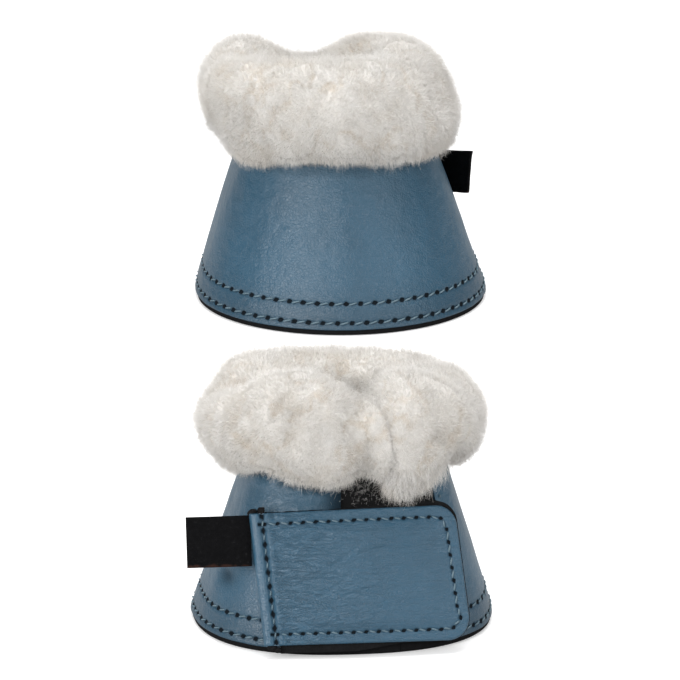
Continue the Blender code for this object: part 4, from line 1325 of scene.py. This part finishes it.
def fleece_fibres(boot, points, out, height):
    """Fine curled fibres rooted all over the ground: short felted ones, and longer loose wisps."""
    rng = np.random.default_rng(boot["seed"])
    rows, cols = points.shape[:2]
    normal, area = ground_normals(points, out)
    turn = np.broadcast_to(np.arange(cols) * math.tau / cols, (rows, cols))
    cell = fibre_cells(area, turn, rng)
    total = len(cell)
    i, j = cell // cols, cell % cols
    s, t = rng.random(total), rng.random(total)
    root, n = between(points, i, j, s, t), unit(between(normal, i, j, s, t))
    raised, under = height[i, j], hump(turn[i, j] - 1.5 * math.pi, 0.62)
    angle = MEETING + (i + s) / rows * math.tau
    wisp, fringe = (np.arange(total) >= first for first in (FELT_COUNT, FELT_COUNT + WISP_COUNT))
    side = rng.normal(size=(total, 3))
    direction, tuft = fibre_directions(boot, root, n, side, angle, raised, under, wisp, fringe)
    length = fibre_lengths(boot, root, tuft, under, wisp, fringe, rng)
    tip = root + direction * length[:, None]
    tip = clump(root, tip, total // 190, rng, 0.75, 0.14)
    pull = 0.02 + 0.16 * rng.random(total) * (~wisp | fringe)
    tip = clump(root, tip, total // 26, rng, 0.45, pull[:, None])
    thick = np.where(wisp, WISP_RADIUS, FELT_RADIUS) * (0.75 + 0.5 * rng.random(total))
    tint = fibre_tints(boot, root, angle, raised, under, rng)
    letters = iter("abcdefghijklmnopqrstuvwxyz")
    for kind, steps in ((False, np.array((0, 0.5, 1))), (True, np.array((0, 0.38, 0.72, 1)))):
        taper = np.interp(steps, (0, 0.5, 1), (1, 0.9, 0.3))
        triangles = 2 * FIBRE_SIDES * (len(steps) - 1) + 2
        for colour, look in enumerate(FIBRES):
            chosen = np.nonzero((tint == colour) & (wisp == kind))[0]
            shares = math.ceil(len(chosen) * triangles / PIECE_TRIANGLES)
            for some in np.array_split(chosen, shares) if shares else ():
                path = curled_paths(root[some], tip[some], n[some], length[some], steps, rng)
                fibres = tubes(path, thick[some][:, None] * taper[None, :], FIBRE_SIDES, side[some])
                make_piece(boot, "fleece_fibres_" + next(letters), *fibres, look)


for boot in BOOTS:
    leather_bell(boot)
    hem_stitches(boot, LOWER_ROW, "lower")
    hem_stitches(boot, UPPER_ROW, "upper")
    end_stitches(boot)
    collar_stitches(boot)
    lining_ring(boot)
    loop_patch(boot)
    lint(boot)
    flap_leather(boot)
    for row in FLAP_ROWS:
        flap_stitches(boot, row)
    hook_backing(boot)
    fold_ends(boot)
    tape_strap(boot)
    fleece_fibres(boot, *fleece_ground(boot))
    # The strip that holds the flap stays the CAD's own piece, in the same leather.
    frame["nodes"][boot["name"] + "_flap_base"].data.materials[0] = LOOKS["shell"][0]


# ---------------------------------------------------------------- floor, light and camera
def floor_material():
    """White, and glowing more with distance for the camera. It is darker in the light that it throws back."""
    material, tree = new_material("floor_white")
    seen = node(tree, "ShaderNodeLightPath").outputs["Is Camera Ray"]
    tone = mix(tree, seen, grey(0.56), grey(0.86))
    plain = surface(tree, Base_Color=tone, Roughness=0.9, Specular_IOR_Level=0.1)
    away = node(tree, "ShaderNodeVectorMath", operation="LENGTH", in_Vector=coordinates(tree))
    level = node(
        tree, "ShaderNodeMapRange", interpolation_type="SMOOTHSTEP", in_Value=away.outputs["Value"],
        in_From_Min=0.7, in_From_Max=1.6, in_To_Min=0.34, in_To_Max=0.8,
    )
    strength = node(tree, "ShaderNodeMath", operation="MULTIPLY")
    feed(tree, strength.inputs[0], seen)
    feed(tree, strength.inputs[1], level.outputs["Result"])
    glow = node(tree, "ShaderNodeEmission", in_Color=grey(1), in_Strength=strength.outputs[0])
    both = node(tree, "ShaderNodeAddShader")
    tree.links.new(plain, both.inputs[0])
    tree.links.new(glow.outputs[0], both.inputs[1])
    tree.links.new(both.outputs[0], tree.nodes["Material Output"].inputs["Surface"])
    return material


def studio_world():
    """White for the camera, dimmer as light on the boots and dimmest in their reflections."""
    world = bpy.data.worlds.new("studio")
    bpy.context.scene.world = world
    world.use_nodes = True
    tree = world.node_tree
    path = node(tree, "ShaderNodeLightPath")
    level = mix(tree, path.outputs["Is Camera Ray"], 0.56, 1, kind="FLOAT")
    level = mix(tree, path.outputs["Is Glossy Ray"], level, 0.12, kind="FLOAT")
    background = tree.nodes["Background"]
    feed(tree, background.inputs["Color"], grey(1))
    feed(tree, background.inputs["Strength"], level)


BOOTS_MIDDLE = Vector((0, 0, 0.06))


def area_light(name, location, size, power, spread):
    """A softbox that points at the boots. Its spread is in degrees."""
    data = bpy.data.lights.new(name, "AREA")
    data.shape = "ELLIPSE"
    data.size, data.size_y = size
    data.energy = power
    data.spread = math.radians(spread)
    light = bpy.data.objects.new(name, data)
    bpy.context.scene.collection.objects.link(light)
    light.location = location
    light.rotation_euler = (BOOTS_MIDDLE - Vector(location)).to_track_quat("-Z", "Y").to_euler()


bpy.ops.mesh.primitive_plane_add(size=60, location=(0, 0, -0.0002))
floor = bpy.context.object
floor.name = "floor"
floor.data.materials.append(floor_material())

studio_world()
area_light("softbox_left", (-1.66, -1.52, 0.7), (1.8, 1.3), 3.75, 60)
area_light("softbox_right", (1.76, -1.37, 0.82), (1.4, 1.1), 2.9, 90)
area_light("softbox_front", (-0.42, -2.5, 0.95), (1.25, 0.9), 0.92, 42)
area_light("softbox_top", (0, 0.1, 2), (1.8, 1.8), 10.9, 90)

ELEVATION = math.radians(17)
FIELD = 0.3604
camera_data = bpy.data.cameras.new("camera")
camera = bpy.data.objects.new("camera", camera_data)
bpy.context.scene.collection.objects.link(camera)
camera_data.lens, camera_data.sensor_width, camera_data.clip_end = 1500, 36, 100
distance = FIELD * camera_data.lens / camera_data.sensor_width
target = Vector((-0.0003, 0, 0.0613))
camera.location = target + Vector((0, -math.cos(ELEVATION), math.sin(ELEVATION))) * distance
camera.rotation_euler = (math.pi / 2 - ELEVATION, 0, 0)
bpy.context.scene.camera = camera
bpy.context.scene.view_settings.view_transform = "Standard"
